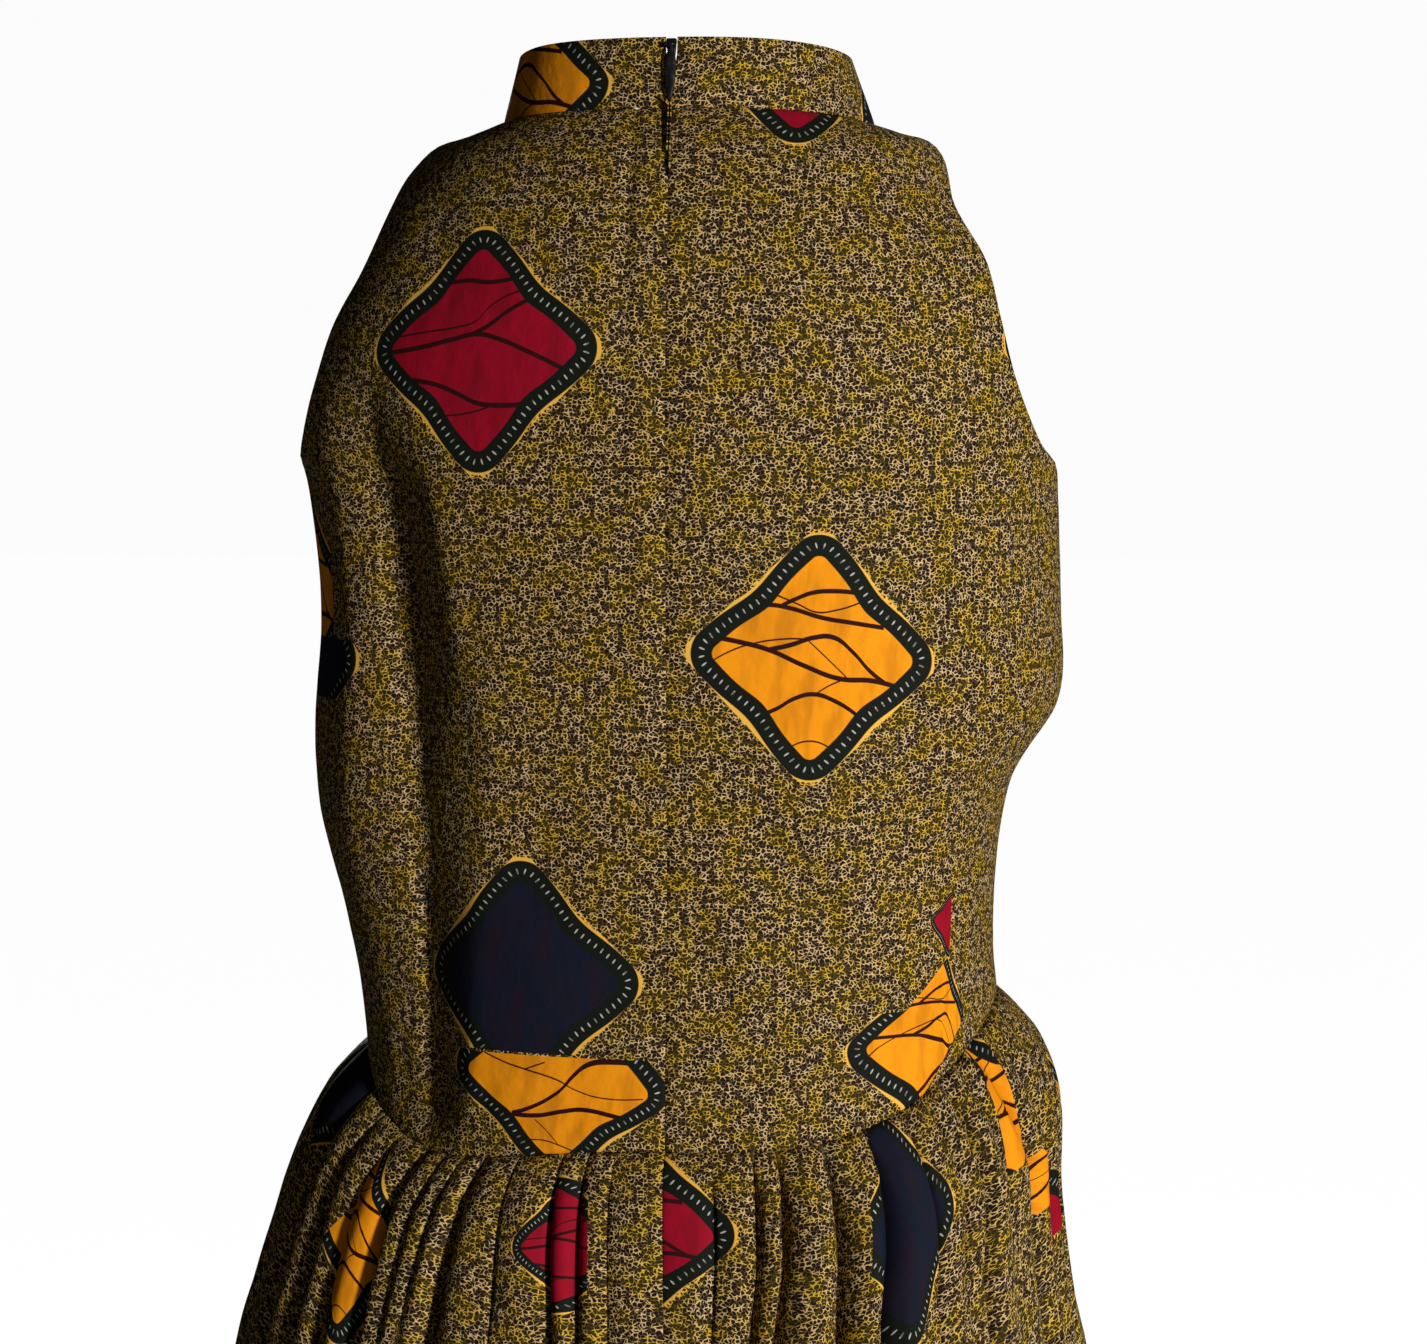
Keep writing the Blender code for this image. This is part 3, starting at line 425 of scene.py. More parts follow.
def skirt_grid(half, side):
    """One quarter of the skirt: its outer points, in centimetres, and its cloth across."""
    knots = (CENTRE, *GATHERS[half, side], SIDE)
    places = skirt_rows()
    drop, fold = along(SKIRT, places, "drop"), along(SKIRT, places, "fold")
    width = along(SKIRT, places, "left" if side == LEFT else "right")
    depth = along(SKIRT, places, "back" if half == BACK else "front")
    depths = [(low.depth**2 + high.depth**2) / 2 for low, high in zip(knots, knots[1:])]
    hidden_by_depth = (SKIRT_CLOTH_QUARTER - WAIST_QUARTER) / sum(depths)
    print_laid = PRINT_AT_SEAM + (1 - PRINT_AT_SEAM) * drop / SKIRT_LENGTH
    columns, cloth = [], []
    cloth_so_far = 0.0
    for k, (low, high) in enumerate(zip(knots, knots[1:])):
        last = k == len(knots) - 2
        taken = WAIST_QUARTER * (high.seam - low.seam) / QUARTER + hidden_by_depth * depths[k]
        low_angle, high_angle = gather_angle(low, drop), gather_angle(high, drop)
        span = ring(half, side, high_angle, width, depth, 0, 0)
        span = np.linalg.norm(span - ring(half, side, low_angle, width, depth, 0, 0), axis=-1)
        taken = np.maximum(taken * print_laid, span)
        hidden = np.minimum(1 - span / taken, MOST_HIDDEN)
        for share in GATHER_STEPS + ((1.0,) if last else ()):
            angle = low_angle * (1 - share) + high_angle * share
            points = ring(half, side, angle, width, depth, 0, 0)
            seam_z = (1 - share) * seam_height(half, side, low.seam)
            seam_z += share * seam_height(half, side, high.seam)
            points[..., 2] = seam_z + (HEM_Z - seam_z) * drop / SKIRT_LENGTH
            here, beyond = gather_depth(low, drop), gather_depth(high, drop)
            inwards = valley_shape(share) * here + valley_shape(1 - share) * beyond
            slit = slit_depth(drop, share * span, here)
            slit = slit + slit_depth(drop, (1 - share) * span, beyond)
            crest = CREST_OUT * math.sin(math.pi * share) ** 2
            points = pressed_in(points, fold * (inwards - crest) + slit)
            points[..., 0] += along(SKIRT, places, "sway")
            columns.append(points)
            before = cloth_hidden(drop, share, span, low, high)
            cloth.append(cloth_so_far + taken * ((1 - hidden) * share + hidden * before))
        cloth_so_far = cloth_so_far + taken
    return np.array(columns), np.array(cloth)


def running_length(points, axis):
    """How far each point is along its line of the grid."""
    steps = np.linalg.norm(np.diff(points, axis=axis), axis=-1)
    zero = np.zeros_like(np.take(steps, [0], axis=axis))
    return np.cumsum(np.concatenate([zero, steps], axis=axis), axis=axis)


def outward_normals(points):
    """Unit normals of a grid that runs round the body and down it."""
    across, down = np.gradient(points, axis=0), np.gradient(points, axis=1)
    normals = np.cross(across, down)
    normals /= np.maximum(np.linalg.norm(normals, axis=-1, keepdims=True), 1e-12)
    outwards = points.copy()
    outwards[..., 2] = 0
    if np.sum(normals * outwards) < 0:
        normals = -normals
    return normals


def crease_depth(points, half):
    """How far each point of the bodice is pressed in by the creases near it, in centimetres."""
    total = np.zeros(points.shape[:-1])
    for crease in CREASES:
        if crease.half != half:
            continue
        start = np.array([crease.x0, crease.z0])
        run = np.array([crease.x1, crease.z1]) - start
        off = points[..., (0, 2)] - start
        share = (off @ run) / (run @ run)
        aside = np.abs(off[..., 0] * run[1] - off[..., 1] * run[0]) / np.linalg.norm(run)
        swell = np.sin(np.pi * np.clip(share, 0, 1)) ** CREASE_ENDS
        total += crease.depth * swell * np.exp(-((aside / crease.width) ** 2))
    return total


def ripple_height(points, ripples):
    """Broad, gentle unevenness, in centimetres."""
    flat = points.reshape(-1, 3)
    height = np.zeros(len(flat))
    for ripple in ripples:
        waves = [noise.noise(Vector(point / ripple.length)) for point in flat]
        height += ripple.height * np.array(waves)
    return height.reshape(points.shape[:-1])


def seam_roll(distance):
    """How far cloth turns in beside a seam, in centimetres, at this distance from it."""
    return SEAM_ROLL_DEPTH / CM * np.exp(-distance * CM / SEAM_ROLL_WIDTH)


def spaced(end, step):
    """Distances from 0 to end, closest together beside both of its seams."""
    near = np.array(BESIDE_A_SEAM)
    count = round((end - 2 * near[-1]) / step) + 1
    return np.concatenate(
        [near[:-1], np.linspace(near[-1], end - near[-1], count), (end - near[:-1])[::-1]]
    )


def turned_in(points, inward, across, down):
    """The grid with its edges turned under, as a sewn or hemmed edge is."""
    for axis in (0, 1):
        first, last = np.take(points, [0], axis), np.take(points, [-1], axis)
        under_first, under_last = np.take(inward, [0], axis), np.take(inward, [-1], axis)
        depths = TURNINGS[axis]
        before = [first + under_first * depth for depth in depths[::-1]]
        after = [last + under_last * depth for depth in depths]
        points = np.concatenate([*before, points, *after], axis)
        inward = padded(inward, axis, len(depths))
        across, down = (padded(cloth, axis, len(depths)) for cloth in (across, down))
    return points, across, down


def one_piece(quarters):
    """One grid from a piece's quarters: each has points, directions inward, across and down."""
    grids = quarters[0] if len(quarters) == 1 else [joined(*pair) for pair in zip(*quarters)]
    return turned_in(*grids)


def padded(values, axis, count):
    """The grid of values with its first and last line repeated."""
    first, last = np.take(values, [0], axis), np.take(values, [-1], axis)
    return np.concatenate([*[first] * count, values, *[last] * count], axis)


# ---------------------------------------------------------------- meshes


def placed(name, data):
    """A new object at the origin, of this mesh, lamp or camera."""
    made = bpy.data.objects.new(name, data)
    bpy.context.scene.collection.objects.link(made)
    return made


def lay_cloth(mesh, across, down):
    """Gives the mesh its UV map, from its points' cloth across and down, in centimetres."""
    cloth = np.stack([across, down], axis=-1).reshape(-1, 2) * CM
    order = np.empty(len(mesh.loops), int)
    mesh.loops.foreach_get("vertex_index", order)
    mesh.uv_layers.new(name="cloth").uv.foreach_set("vector", cloth[order].ravel())


def cloth_object(name, points, across, down, finish, thickness=CLOTH_THICKNESS):
    """A thin closed shell on a grid of points, with its cloth's own UV map. All in centimetres."""
    columns, rows = points.shape[:2]
    number = np.arange(columns * rows).reshape(columns, rows)
    quads = np.stack(
        [number[:-1, :-1], number[:-1, 1:], number[1:, 1:], number[1:, :-1]], axis=-1
    ).reshape(-1, 4)
    mesh = bpy.data.meshes.new(name)
    mesh.from_pydata((points.reshape(-1, 3) * CM).tolist(), [], quads.tolist())
    lay_cloth(mesh, across, down)
    middle = mesh.polygons[len(mesh.polygons) // 2]
    if middle.normal.dot(Vector((middle.center.x, middle.center.y, 0))) < 0:
        mesh.flip_normals()
    mesh.shade_smooth()
    mesh.materials.append(finish)
    made = placed(name, mesh)
    wall = made.modifiers.new("cloth thickness", "SOLIDIFY")
    wall.thickness = thickness
    wall.offset = -1
    wall.use_even_offset = False
    return made


def joined(left, right):
    """Two quarters as one grid, from the left side to the right."""
    return np.concatenate([left[::-1], right[1:]], axis=0)


def bodice_rows(half):
    """The rows of a bodice piece, spaced down its centre line."""
    levels = np.linspace(0, WAIST, ROW_STEPS)
    line = bodice_grid(half, RIGHT, [0.0], levels)
    length = running_length(line, axis=1)[0]
    return np.interp(spaced(length[-1], BODICE_STEP), length, levels)


def bodice_columns(half):
    """The columns of a quarter of the bodice, spaced along a ring below its armhole."""
    angles = np.concatenate([[0], np.geomspace(FIRST_RING_STEP, QUARTER, RING_STEPS)])
    line = bodice_grid(half, RIGHT, angles, [COLUMNS_SPACED_AT])
    length = running_length(line, axis=0)[:, 0]
    return np.interp(spaced(length[-1], BODICE_STEP), length, angles)


def bodice_piece(half, sides):
    """The points of a bodice piece and its cloth across and down, in centimetres."""
    columns, levels = bodice_columns(half), bodice_rows(half)
    quarters = []
    for side in sides:
        points = bodice_grid(half, side, columns, levels)
        round_length = running_length(points, axis=0)
        down_length = running_length(points, axis=1)
        edge = seam_roll(down_length)
        edge += seam_roll(down_length[:, -1:] - down_length)
        edge += seam_roll(round_length[-1:, :] - round_length)
        if half == BACK:
            edge += seam_roll(round_length)
            points[0, :, 0] += side * ZIP_HALF_GAP[0][1] * MM / CM
        points[-1, :, 1] += half * SEAM_HALF_GAP / CM
        pressed = crease_depth(points, half) + edge - ripple_height(points, BODICE_RIPPLES)
        inward = -outward_normals(points)
        centre = points[0]
        heights, lengths = centre[::-1, 2], running_length(centre[None], axis=1)[0][::-1]
        down = np.interp(points[..., 2], heights, lengths)
        down -= np.maximum(points[..., 2] - centre[0, 2], 0)
        down += np.maximum(centre[-1, 2] - points[..., 2], 0)
        quarters.append((points + inward * pressed[..., None], inward, side * round_length, down))
    return one_piece(quarters)


def skirt_piece(half, sides):
    """The points of a skirt piece and its cloth across and down, in centimetres."""
    quarters = []
    for side in sides:
        points, cloth = skirt_grid(half, side)
        down = running_length(points, axis=1)
        edge = seam_roll(down)
        round_length = running_length(points, axis=0)
        edge += seam_roll(round_length[-1:, :] - round_length)
        if half == BACK:
            edge += seam_roll(round_length)
            points[0, :, 0] += side * straight(ZIP_HALF_GAP, down[0]) * MM / CM
        points[-1, :, 1] += half * SEAM_HALF_GAP / CM
        settled = smooth(down / SKIRT_RIPPLES_START)
        pressed = edge - settled * ripple_height(points, SKIRT_RIPPLES)
        inward = -outward_normals(points)
        quarters.append((points + inward * pressed[..., None], inward, side * cloth, down))
    return one_piece(quarters)


def collar_grid(half, side, angles, heights):
    """The collar's outer face in one quarter, in centimetres."""
    angle, height = np.meshgrid(angles, heights, indexing="ij")
    neck = BODICE[0]
    lean = COLLAR_LEAN_BACK if half == BACK else COLLAR_LEAN_FRONT
    width = neck.left if side == LEFT else neck.right
    depth = neck.back if half == BACK else neck.front
    centre_z = neck.back_z if half == BACK else neck.front_z
    lift = COLLAR_HEIGHT * height
    width, depth = width - COLLAR_LEAN[side] * height, depth - lean * height
    points = ring(half, side, angle, width, depth, centre_z + lift, neck.left_z + lift)
    if half == BACK:
        points[0, :, 0] += side * straight(COLLAR_END_GAPS, height[0])
    return points


def make_collar(finish):
    """A band of two layers, rolled over at its upper edge and turned in at its ends."""
    angles, rows = np.linspace(0, QUARTER, COLLAR_COLUMNS), np.linspace(0, 1, COLLAR_ROWS)
    quarters = [
        collar_grid(half, side, angles, rows)
        for half, side in ((BACK, LEFT), (FRONT, LEFT), (FRONT, RIGHT), (BACK, RIGHT))
    ]
    back_left, front_left, front_right, back_right = quarters
    outer = np.concatenate(
        [back_left, front_left[-2::-1], front_right[1:], back_right[-2::-1]], axis=0
    )[:, ::-1]
    length = running_length(outer, axis=0)
    half_round = len(back_left) - 1
    across_from_back = np.where(
        np.arange(len(outer))[:, None] <= 2 * half_round, -length, length[-1:, :] - length
    )
    inward = -outward_normals(outer)
    inward[..., 2] = 0
    down = np.broadcast_to((1 - rows[::-1]) * COLLAR_HEIGHT, outer.shape[:2])
    half_wall = COLLAR_WALL / 2
    end_distance = np.minimum(length, length[-1:, :] - length)
    spared = seam_roll(COLLAR_HEIGHT - down) * COLLAR_FOOT_ROLL
    spared += seam_roll(end_distance) * COLLAR_END_ROLL
    spared -= ripple_height(outer, COLLAR_RIPPLES)
    face = outer + inward * spared[..., None]
    turns = np.radians(np.linspace(0, 180, COLLAR_ROLL_STEPS))[1:-1]
    top, top_in = outer[:, 0] + inward[:, 0] * half_wall, inward[:, 0]
    roll = [
        top
        + np.array((0, 0, half_wall * COLLAR_ROLL_HEIGHT * math.sin(turn)))
        - top_in * half_wall * math.cos(turn)
        for turn in turns
    ]
    back_face = outer + inward * COLLAR_WALL
    loop = np.concatenate([face[:, ::-1], np.stack(roll, axis=1), back_face], axis=1)
    over = np.zeros((len(outer), len(roll)))
    cloth_down = np.concatenate([down[:, ::-1], over, down], axis=1)
    across = across_from_back
    cloth_across = np.concatenate([across[:, ::-1], over + across[:, :1], across], axis=1)
    return closed_band("collar_cloth", loop, cloth_across, cloth_down, finish)


def closed_band(name, loops, across, down, finish):
    """A band from loops of points that each close on themselves, capped at both ends."""
    count, size = loops.shape[:2]
    number = np.arange(count * size).reshape(count, size)
    after = np.roll(number, -1, axis=1)
    quads = np.stack([number[:-1], after[:-1], after[1:], number[1:]], axis=-1).reshape(-1, 4)
    faces = quads.tolist() + [number[0].tolist()[::-1], number[-1].tolist()]
    mesh = bpy.data.meshes.new(name)
    mesh.from_pydata((loops.reshape(-1, 3) * CM).tolist(), [], faces)
    lay_cloth(mesh, across, down)
    shape = bmesh.new()
    shape.from_mesh(mesh)
    bmesh.ops.recalc_face_normals(shape, faces=shape.faces)
    shape.to_mesh(mesh)
    shape.free()
    mesh.shade_smooth()
    mesh.set_sharp_from_angle(angle=math.radians(SHARP_COLLAR))
    mesh.materials.append(finish)
    return placed(name, mesh)


# ---------------------------------------------------------------- shader arithmetic


def feed(tree, node, inputs):
    """Sets a node's inputs, each to a Number, to another node's socket or to a plain value."""
    for place, value in inputs.items():
        source = value.socket if isinstance(value, Number) else value
        if isinstance(source, bpy.types.NodeSocket):
            tree.links.new(source, node.inputs[place])
        else:
            node.inputs[place].default_value = source


def add_node(tree, kind, inputs, **settings):
    """A new node with these inputs and settings."""
    node = tree.nodes.new(kind)
    for name, value in settings.items():
        setattr(node, name, value)
    feed(tree, node, inputs)
    return node


class Number:
    """A number that a material works out at each point of its surface."""

    def __init__(self, tree, socket):
        self.tree, self.socket = tree, socket

    def work(self, operation, *others):
        inputs = dict(enumerate((self, *others)))
        node = add_node(self.tree, "ShaderNodeMath", inputs, operation=operation)
        return Number(self.tree, node.outputs[0])

    def __add__(self, other):
        return self.work("ADD", other)

    def __sub__(self, other):
        return self.work("SUBTRACT", other)

    def __mul__(self, other):
        return self.work("MULTIPLY", other)

    def __truediv__(self, other):
        return self.work("DIVIDE", other)

    def below(self, other):
        return self.work("LESS_THAN", other)

    def least(self, other):
        return self.work("MINIMUM", other)

    def most(self, other):
        return self.work("MAXIMUM", other)

    def size(self):
        return self.work("ABSOLUTE")

    def sine(self):
        return self.work("SINE")

    def squared(self):
        return self * self

    def root(self):
        return self.work("SQRT")

    def ramp(self, low, high):
        """0 up to low, 1 from high on, and smooth between. low may be the larger."""
        inputs = {"Value": self, "From Min": low, "From Max": high}
        node = add_node(self.tree, "ShaderNodeMapRange", inputs, interpolation_type="SMOOTHSTEP")
        return Number(self.tree, node.outputs["Result"])


def mixed_colour(tree, share, under, over):
    """under where share is 0 and over where it is 1. Colours are sockets or linear triples."""
    under, over = (
        (*colour, 1) if isinstance(colour, tuple) else colour for colour in (under, over)
    )
    node = add_node(tree, "ShaderNodeMix", {0: share, 6: under, 7: over}, data_type="RGBA")
    return node.outputs[2]


def vector_of(tree, x, y):
    """A socket that holds the place (x, y, 0)."""
    return add_node(tree, "ShaderNodeCombineXYZ", {0: x, 1: y}).outputs[0]


def new_finish(name):
    """A new material, its tree and its shader."""
    made = bpy.data.materials.new(name)
    made.use_nodes = True
    return made, made.node_tree, made.node_tree.nodes["Principled BSDF"]


def cloth_millimetres(tree):
    """The cloth across and down at each point, in millimetres."""
    cloth = add_node(tree, "ShaderNodeUVMap", {}, uv_map="cloth")
    parts = add_node(tree, "ShaderNodeSeparateXYZ", {0: cloth.outputs[0]})
    return [Number(tree, parts.outputs[i]) * (1 / MM) for i in (0, 1)]


def cloudy(tree, place, scale, detail):
    """Smooth random colours, about mid grey, that change over 1 / scale."""
    inputs = {"Vector": place, "Scale": scale, "Detail": detail}
    return add_node(tree, "ShaderNodeTexNoise", inputs, noise_dimensions="2D")


def clouds(tree, place, scale, detail):
    """The same as a number, about 0.5."""
    return Number(tree, cloudy(tree, place, scale, detail).outputs["Fac"])


def grain(tree, scale, detail=2.0):
    """A number, about 0.5, that changes through the whole object, over 1 / scale metres."""
    place = add_node(tree, "ShaderNodeTexCoord", {}).outputs["Object"]
    inputs = {"Vector": place, "Scale": scale, "Detail": detail}
    return Number(tree, add_node(tree, "ShaderNodeTexNoise", inputs).outputs["Fac"])


# ---------------------------------------------------------------- the printed cloth

ORANGE, CRIMSON, NAVY = (0.93, 0.31, 0.004), (0.32, 0.002, 0.016), (0.006, 0.0085, 0.020)
GROUND_DARK, GROUND_OLIVE = (0.013, 0.0055, 0.002), (0.030, 0.020, 0.002)
STROKE_CREAM, STROKE_YELLOW = (0.64, 0.445, 0.21), (0.62, 0.37, 0.028)
BORDER_DARK, DASH_CREAM = (0.006, 0.008, 0.0045), (0.46, 0.44, 0.38)
OUTLINE_GOLD, VEIN_DARK = (0.86, 0.46, 0.065), (0.028, 0.0035, 0.003)

# The rounded diamond, in millimetres of cloth.
HALF_SIDE, CORNER_RADIUS, SIDE_DIP = 38.5, 13.0, 2.4
OUTLINE_WIDTH, BORDER_WIDTH, SPIKE_REACH = 0.9, 8.3, 2.2
DASH_HALF_LENGTH, DASH_HALF_WIDTH, DASHES_TO_A_HALF_SIDE = 1.25, 0.36, 10
DASH_SLANT = 0.12
DIAMOND_REACH, FAR_OFF = 53.0, 400.0
MM_TO_A_CM = 10
UNEVEN_OUTLINE, OUTLINE_OUT = 3.0, 0.1
VEIN_REACH = 50.0
VEIN_SOFT_OUT, VEIN_SOFT_IN, VEIN_SOFT_END = 0.22, 0.12, 0.3
STREAKS, DEEPER_DYE = (0.11, 0.03), 0.3  # how fine the dye's streaks are, and how dark

# The ground, in cells: how wide and high one is, in millimetres, how far its fine strokes bend and
# how wide they are.
CRACKLE_CELL, CRACKLE_CELL_HEIGHT = 1.7, 1.7 * 0.88
STROKE_BEND = 0.8
STROKE_WIDTH, LEAST_STROKE, WIDER_AT_DIAMONDS = 0.135, -0.01, 0.12
# The noises that make it uneven: how many waves there are to a cell, and their detail.
BEND_NOISE, BREAK_NOISE = (0.9, 1.0), (0.62, 1.5)
TONE_NOISE, SHADE_NOISE = (0.16, 3.0), (0.16, 2.0)

# The weave, in millimetres.
WEAVE_PITCH, THREAD_HEIGHT, CRUMPLE_HEIGHT = 0.42, 0.02, 1.6
BUMP_STRENGTH, BUMP_DISTANCE = 0.5, 0.5 * MM

# The veins inside a diamond: smooth lines through (across, up) places, in millimetres.
Vein = namedtuple("Vein", "half_width line")
SPLIT_VEINS = (
    Vein(0.86, ((-26, 19), (-18, 20), (-10, 19), (2, 16), (14, 14.5), (27, 13))),
    Vein(0.86, ((-14, 19.8), (-8, 23), (-2, 25.5), (6, 26.5), (17, 26))),
    Vein(0.3, ((-19, 25), (-8, 21), (0, 18), (7, 19), (17, 22.5))),
    Vein(0.95, ((-41, 6.5), (-30, 5), (-18, 2.5), (-4, -3), (10, -7.5), (24, -8), (39, -12))),
    Vein(0.95, ((-18, 2.5), (-9, 5), (-1, 8), (7, 8.5), (15, 3), (22, -4), (29, -9))),
    Vein(0.3, ((-41, -4), (-34, 0.5), (-26, 4), (-12, 7), (-3, 7.3))),
    Vein(0.3, ((-3, 7), (4, 1), (13, -7))),
    Vein(0.86, ((-22, -24), (-14, -20.5), (-7, -16), (0, -14), (8, -16), (21, -24))),
    Vein(0.3, ((1, -14), (7, -10), (13, -7.5))),
    Vein(0.3, ((-9, -36), (0, -32.5), (8, -35))),
)
FORKED_VEINS = (
    Vein(0.86, ((-17, 26.5), (-6, 27.5), (4, 26.5), (16, 28.5))),
    Vein(0.95, ((-41, -1), (-26, 1), (-12, 4), (-1, 6), (8, 4), (19, -0.5), (37, -9))),
    Vein(0.95, ((-3, 6), (4, 9.5), (12, 15), (24, 21))),
    Vein(0.34, ((-39, 5), (-24, 7), (-9, 9), (-2, 11), (5, 17.5), (17, 23))),
    Vein(0.95, ((-30, -12), (-18, -14), (-9, -17.5), (-1, -21), (8, -22), (20, -21.5))),
    Vein(0.3, ((-17, -26), (-5, -25), (6, -22))),
)
RISING_VEINS = (
    Vein(1.15, ((-19, -19), (-12, -15), (-2, -6), (6, 4.5), (12, 9.5), (24, 12), (36, 12))),
    Vein(1.15, ((-19, -19.5), (-8, -18), (2, -14), (12, -11.5), (24, -12.5), (32, -14))),
    Vein(0.3, ((-36, 9), (-24, 5.5), (-15, 4), (-1, 1.5), (8, -2), (18, -4), (38, -2))),
    Vein(0.3, ((-15, 4), (-11, 6), (-7, 8))),
    Vein(0.3, ((-9, -20.4), (-4, -25), (2, -32))),
    Vein(0.3, ((-12, -32), (-5, -30.5), (2, -31.7), (8, -33.5))),
    Vein(0.75, ((-4, -41), (3, -37.5), (11, -34.5))),
)
PLAIN, SPLIT, FORKED, RISING = 0, 1, 2, 3  # which veins a diamond has

# Where each diamond lies on its piece: its centre across and down, in centimetres of cloth, its
# turn, its fill and its veins. A later one lies over an earlier one. A cut ends it at a straight
# line: the line's direction of outward travel from the centre, and how far off it is. shares is
# how much of its left, right, upper and lower halves shows, where folds take up the rest.
Diamond = namedtuple("Diamond", "across down turn fill veins cuts shares", defaults=((), None))


def diamond_under(tree, cloth_x, cloth_y, diamonds):
    """The place inside the diamond here, in its own millimetres, its fill and its veins."""
    local_x, local_y = cloth_x * 0 + FAR_OFF, cloth_y * 0 + FAR_OFF
    fill, veins = ORANGE, cloth_x * 0
    for diamond in diamonds:
        off_x = cloth_x - diamond.across * MM_TO_A_CM
        off_y = cloth_y - diamond.down * MM_TO_A_CM
        turn = math.radians(diamond.turn)
        own_x = off_x * math.cos(turn) + off_y * math.sin(turn)
        own_y = off_y * math.cos(turn) - off_x * math.sin(turn)
        if diamond.shares:
            left, right, upper, lower = diamond.shares
            own_x = own_x.least(0) / left + own_x.most(0) / right
            own_y = own_y.least(0) / upper + own_y.most(0) / lower
        here = (own_x.size() + own_y.size()).below(DIAMOND_REACH)
        for direction, distance in diamond.cuts:
            away = math.radians(direction)
            beyond = off_x * math.cos(away) + off_y * math.sin(away)
            here = here * beyond.below(distance * MM_TO_A_CM)
        local_x = local_x + here * (own_x - local_x)
        local_y = local_y + here * (own_y - local_y)
        veins = veins + here * (veins * -1 + diamond.veins)
        fill = mixed_colour(tree, here, fill, diamond.fill)
    return local_x, local_y, fill, veins


def repeated_diamonds(tree, cloth_x, cloth_y, cell_x, cell_y):
    """The same, for cloth whose diamonds are scattered, one to a cell of a staggered grid."""
    row = (cloth_y / cell_y).work("FLOOR")
    stagger = (row * 0.5).work("FRACT") * cell_x
    column = ((cloth_x + stagger) / cell_x).work("FLOOR")
    cell = {"Vector": vector_of(tree, column, row)}
    pick = add_node(tree, "ShaderNodeTexWhiteNoise", cell, noise_dimensions="2D")
    parts = add_node(tree, "ShaderNodeSeparateColor", {0: pick.outputs["Color"]})
    shift_x, shift_y, kind = (Number(tree, parts.outputs[i]) for i in range(3))
    spare_x, spare_y = cell_x / 2 - ROOM_FOR_ONE, cell_y / 2 - ROOM_FOR_ONE
    own_x = cloth_x + stagger - (column + 0.5) * cell_x - (shift_x - 0.5) * 2 * spare_x
    own_y = cloth_y - (row + 0.5) * cell_y - (shift_y - 0.5) * 2 * spare_y
    turned = (shift_x.below(0.5) * 2) - 1
    not_orange, navy = kind.below(CRIMSON_UP_TO), kind.below(NAVY_UP_TO)
    fill = mixed_colour(tree, not_orange, ORANGE, CRIMSON)
    fill = mixed_colour(tree, navy, fill, NAVY)
    veins = not_orange * -1 + SPLIT + (not_orange - navy) * FORKED
    return own_x * turned, own_y * turned, fill, veins


def diamond_layers(x, y):
    """How far outside the diamond's edge this place is, and how near to one of its dashes."""
    diagonal = 1 / math.sqrt(2)
    one, two = ((x + y) * diagonal).size(), ((x - y) * diagonal).size()
    corner = HALF_SIDE - CORNER_RADIUS
    beyond, beside = one.most(two) - corner, one.least(two) - corner
    out_x, out_y = beyond.most(0), beside.most(0)
    edge = (out_x.squared() + out_y.squared()).root() + beyond.least(0) - CORNER_RADIUS
    reach = x.squared() + y.squared() + 1
    most_at_sides = 2**4  # brings the fourth power of a half back to 1
    edge = edge + ((x * y) / reach).squared().squared() * (most_at_sides * SIDE_DIP)
    middle = -(OUTLINE_WIDTH + BORDER_WIDTH / 2)
    middle_radius = CORNER_RADIUS + middle
    round_corner = out_y.work("ARCTAN2", out_x + 0.001) * middle_radius
    run = one.least(two).least(corner) + round_corner + (edge - middle) * DASH_SLANT
    pitch = (corner + middle_radius * math.pi / 4) / DASHES_TO_A_HALF_SIDE
    aside = ((run / pitch).work("FRACT") - 0.5).size() * pitch
    dash = (aside / DASH_HALF_WIDTH).squared() + ((edge - middle) / DASH_HALF_LENGTH).squared()
    return edge, dash


def vein_cover(tree, x, y, veins):
    """1 on one of the veins, and 0 off them."""
    cover = None
    for vein in veins:
        first, last = vein.line[0][0], vein.line[-1][0]
        share = (x + VEIN_REACH) / (2 * VEIN_REACH)
        curve = add_node(tree, "ShaderNodeFloatCurve", {"Value": share})
        points = curve.mapping.curves[0].points
        for number, (across, up) in enumerate(vein.line):
            place = [(value + VEIN_REACH) / (2 * VEIN_REACH) for value in (across, up)]
            if number < 2:
                points[number].location = place
            else:
                points.new(*place)
        curve.mapping.update()
        line = Number(tree, curve.outputs[0]) * (2 * VEIN_REACH) - VEIN_REACH
        outer, inner = vein.half_width + VEIN_SOFT_OUT, vein.half_width - VEIN_SOFT_IN
        near = (line + y).size().ramp(outer, inner)
        near = near * x.ramp(first - VEIN_SOFT_END, first + VEIN_SOFT_END)
        near = near * x.ramp(last + VEIN_SOFT_END, last - VEIN_SOFT_END)
        cover = near if cover is None else cover.most(near)
    return cover


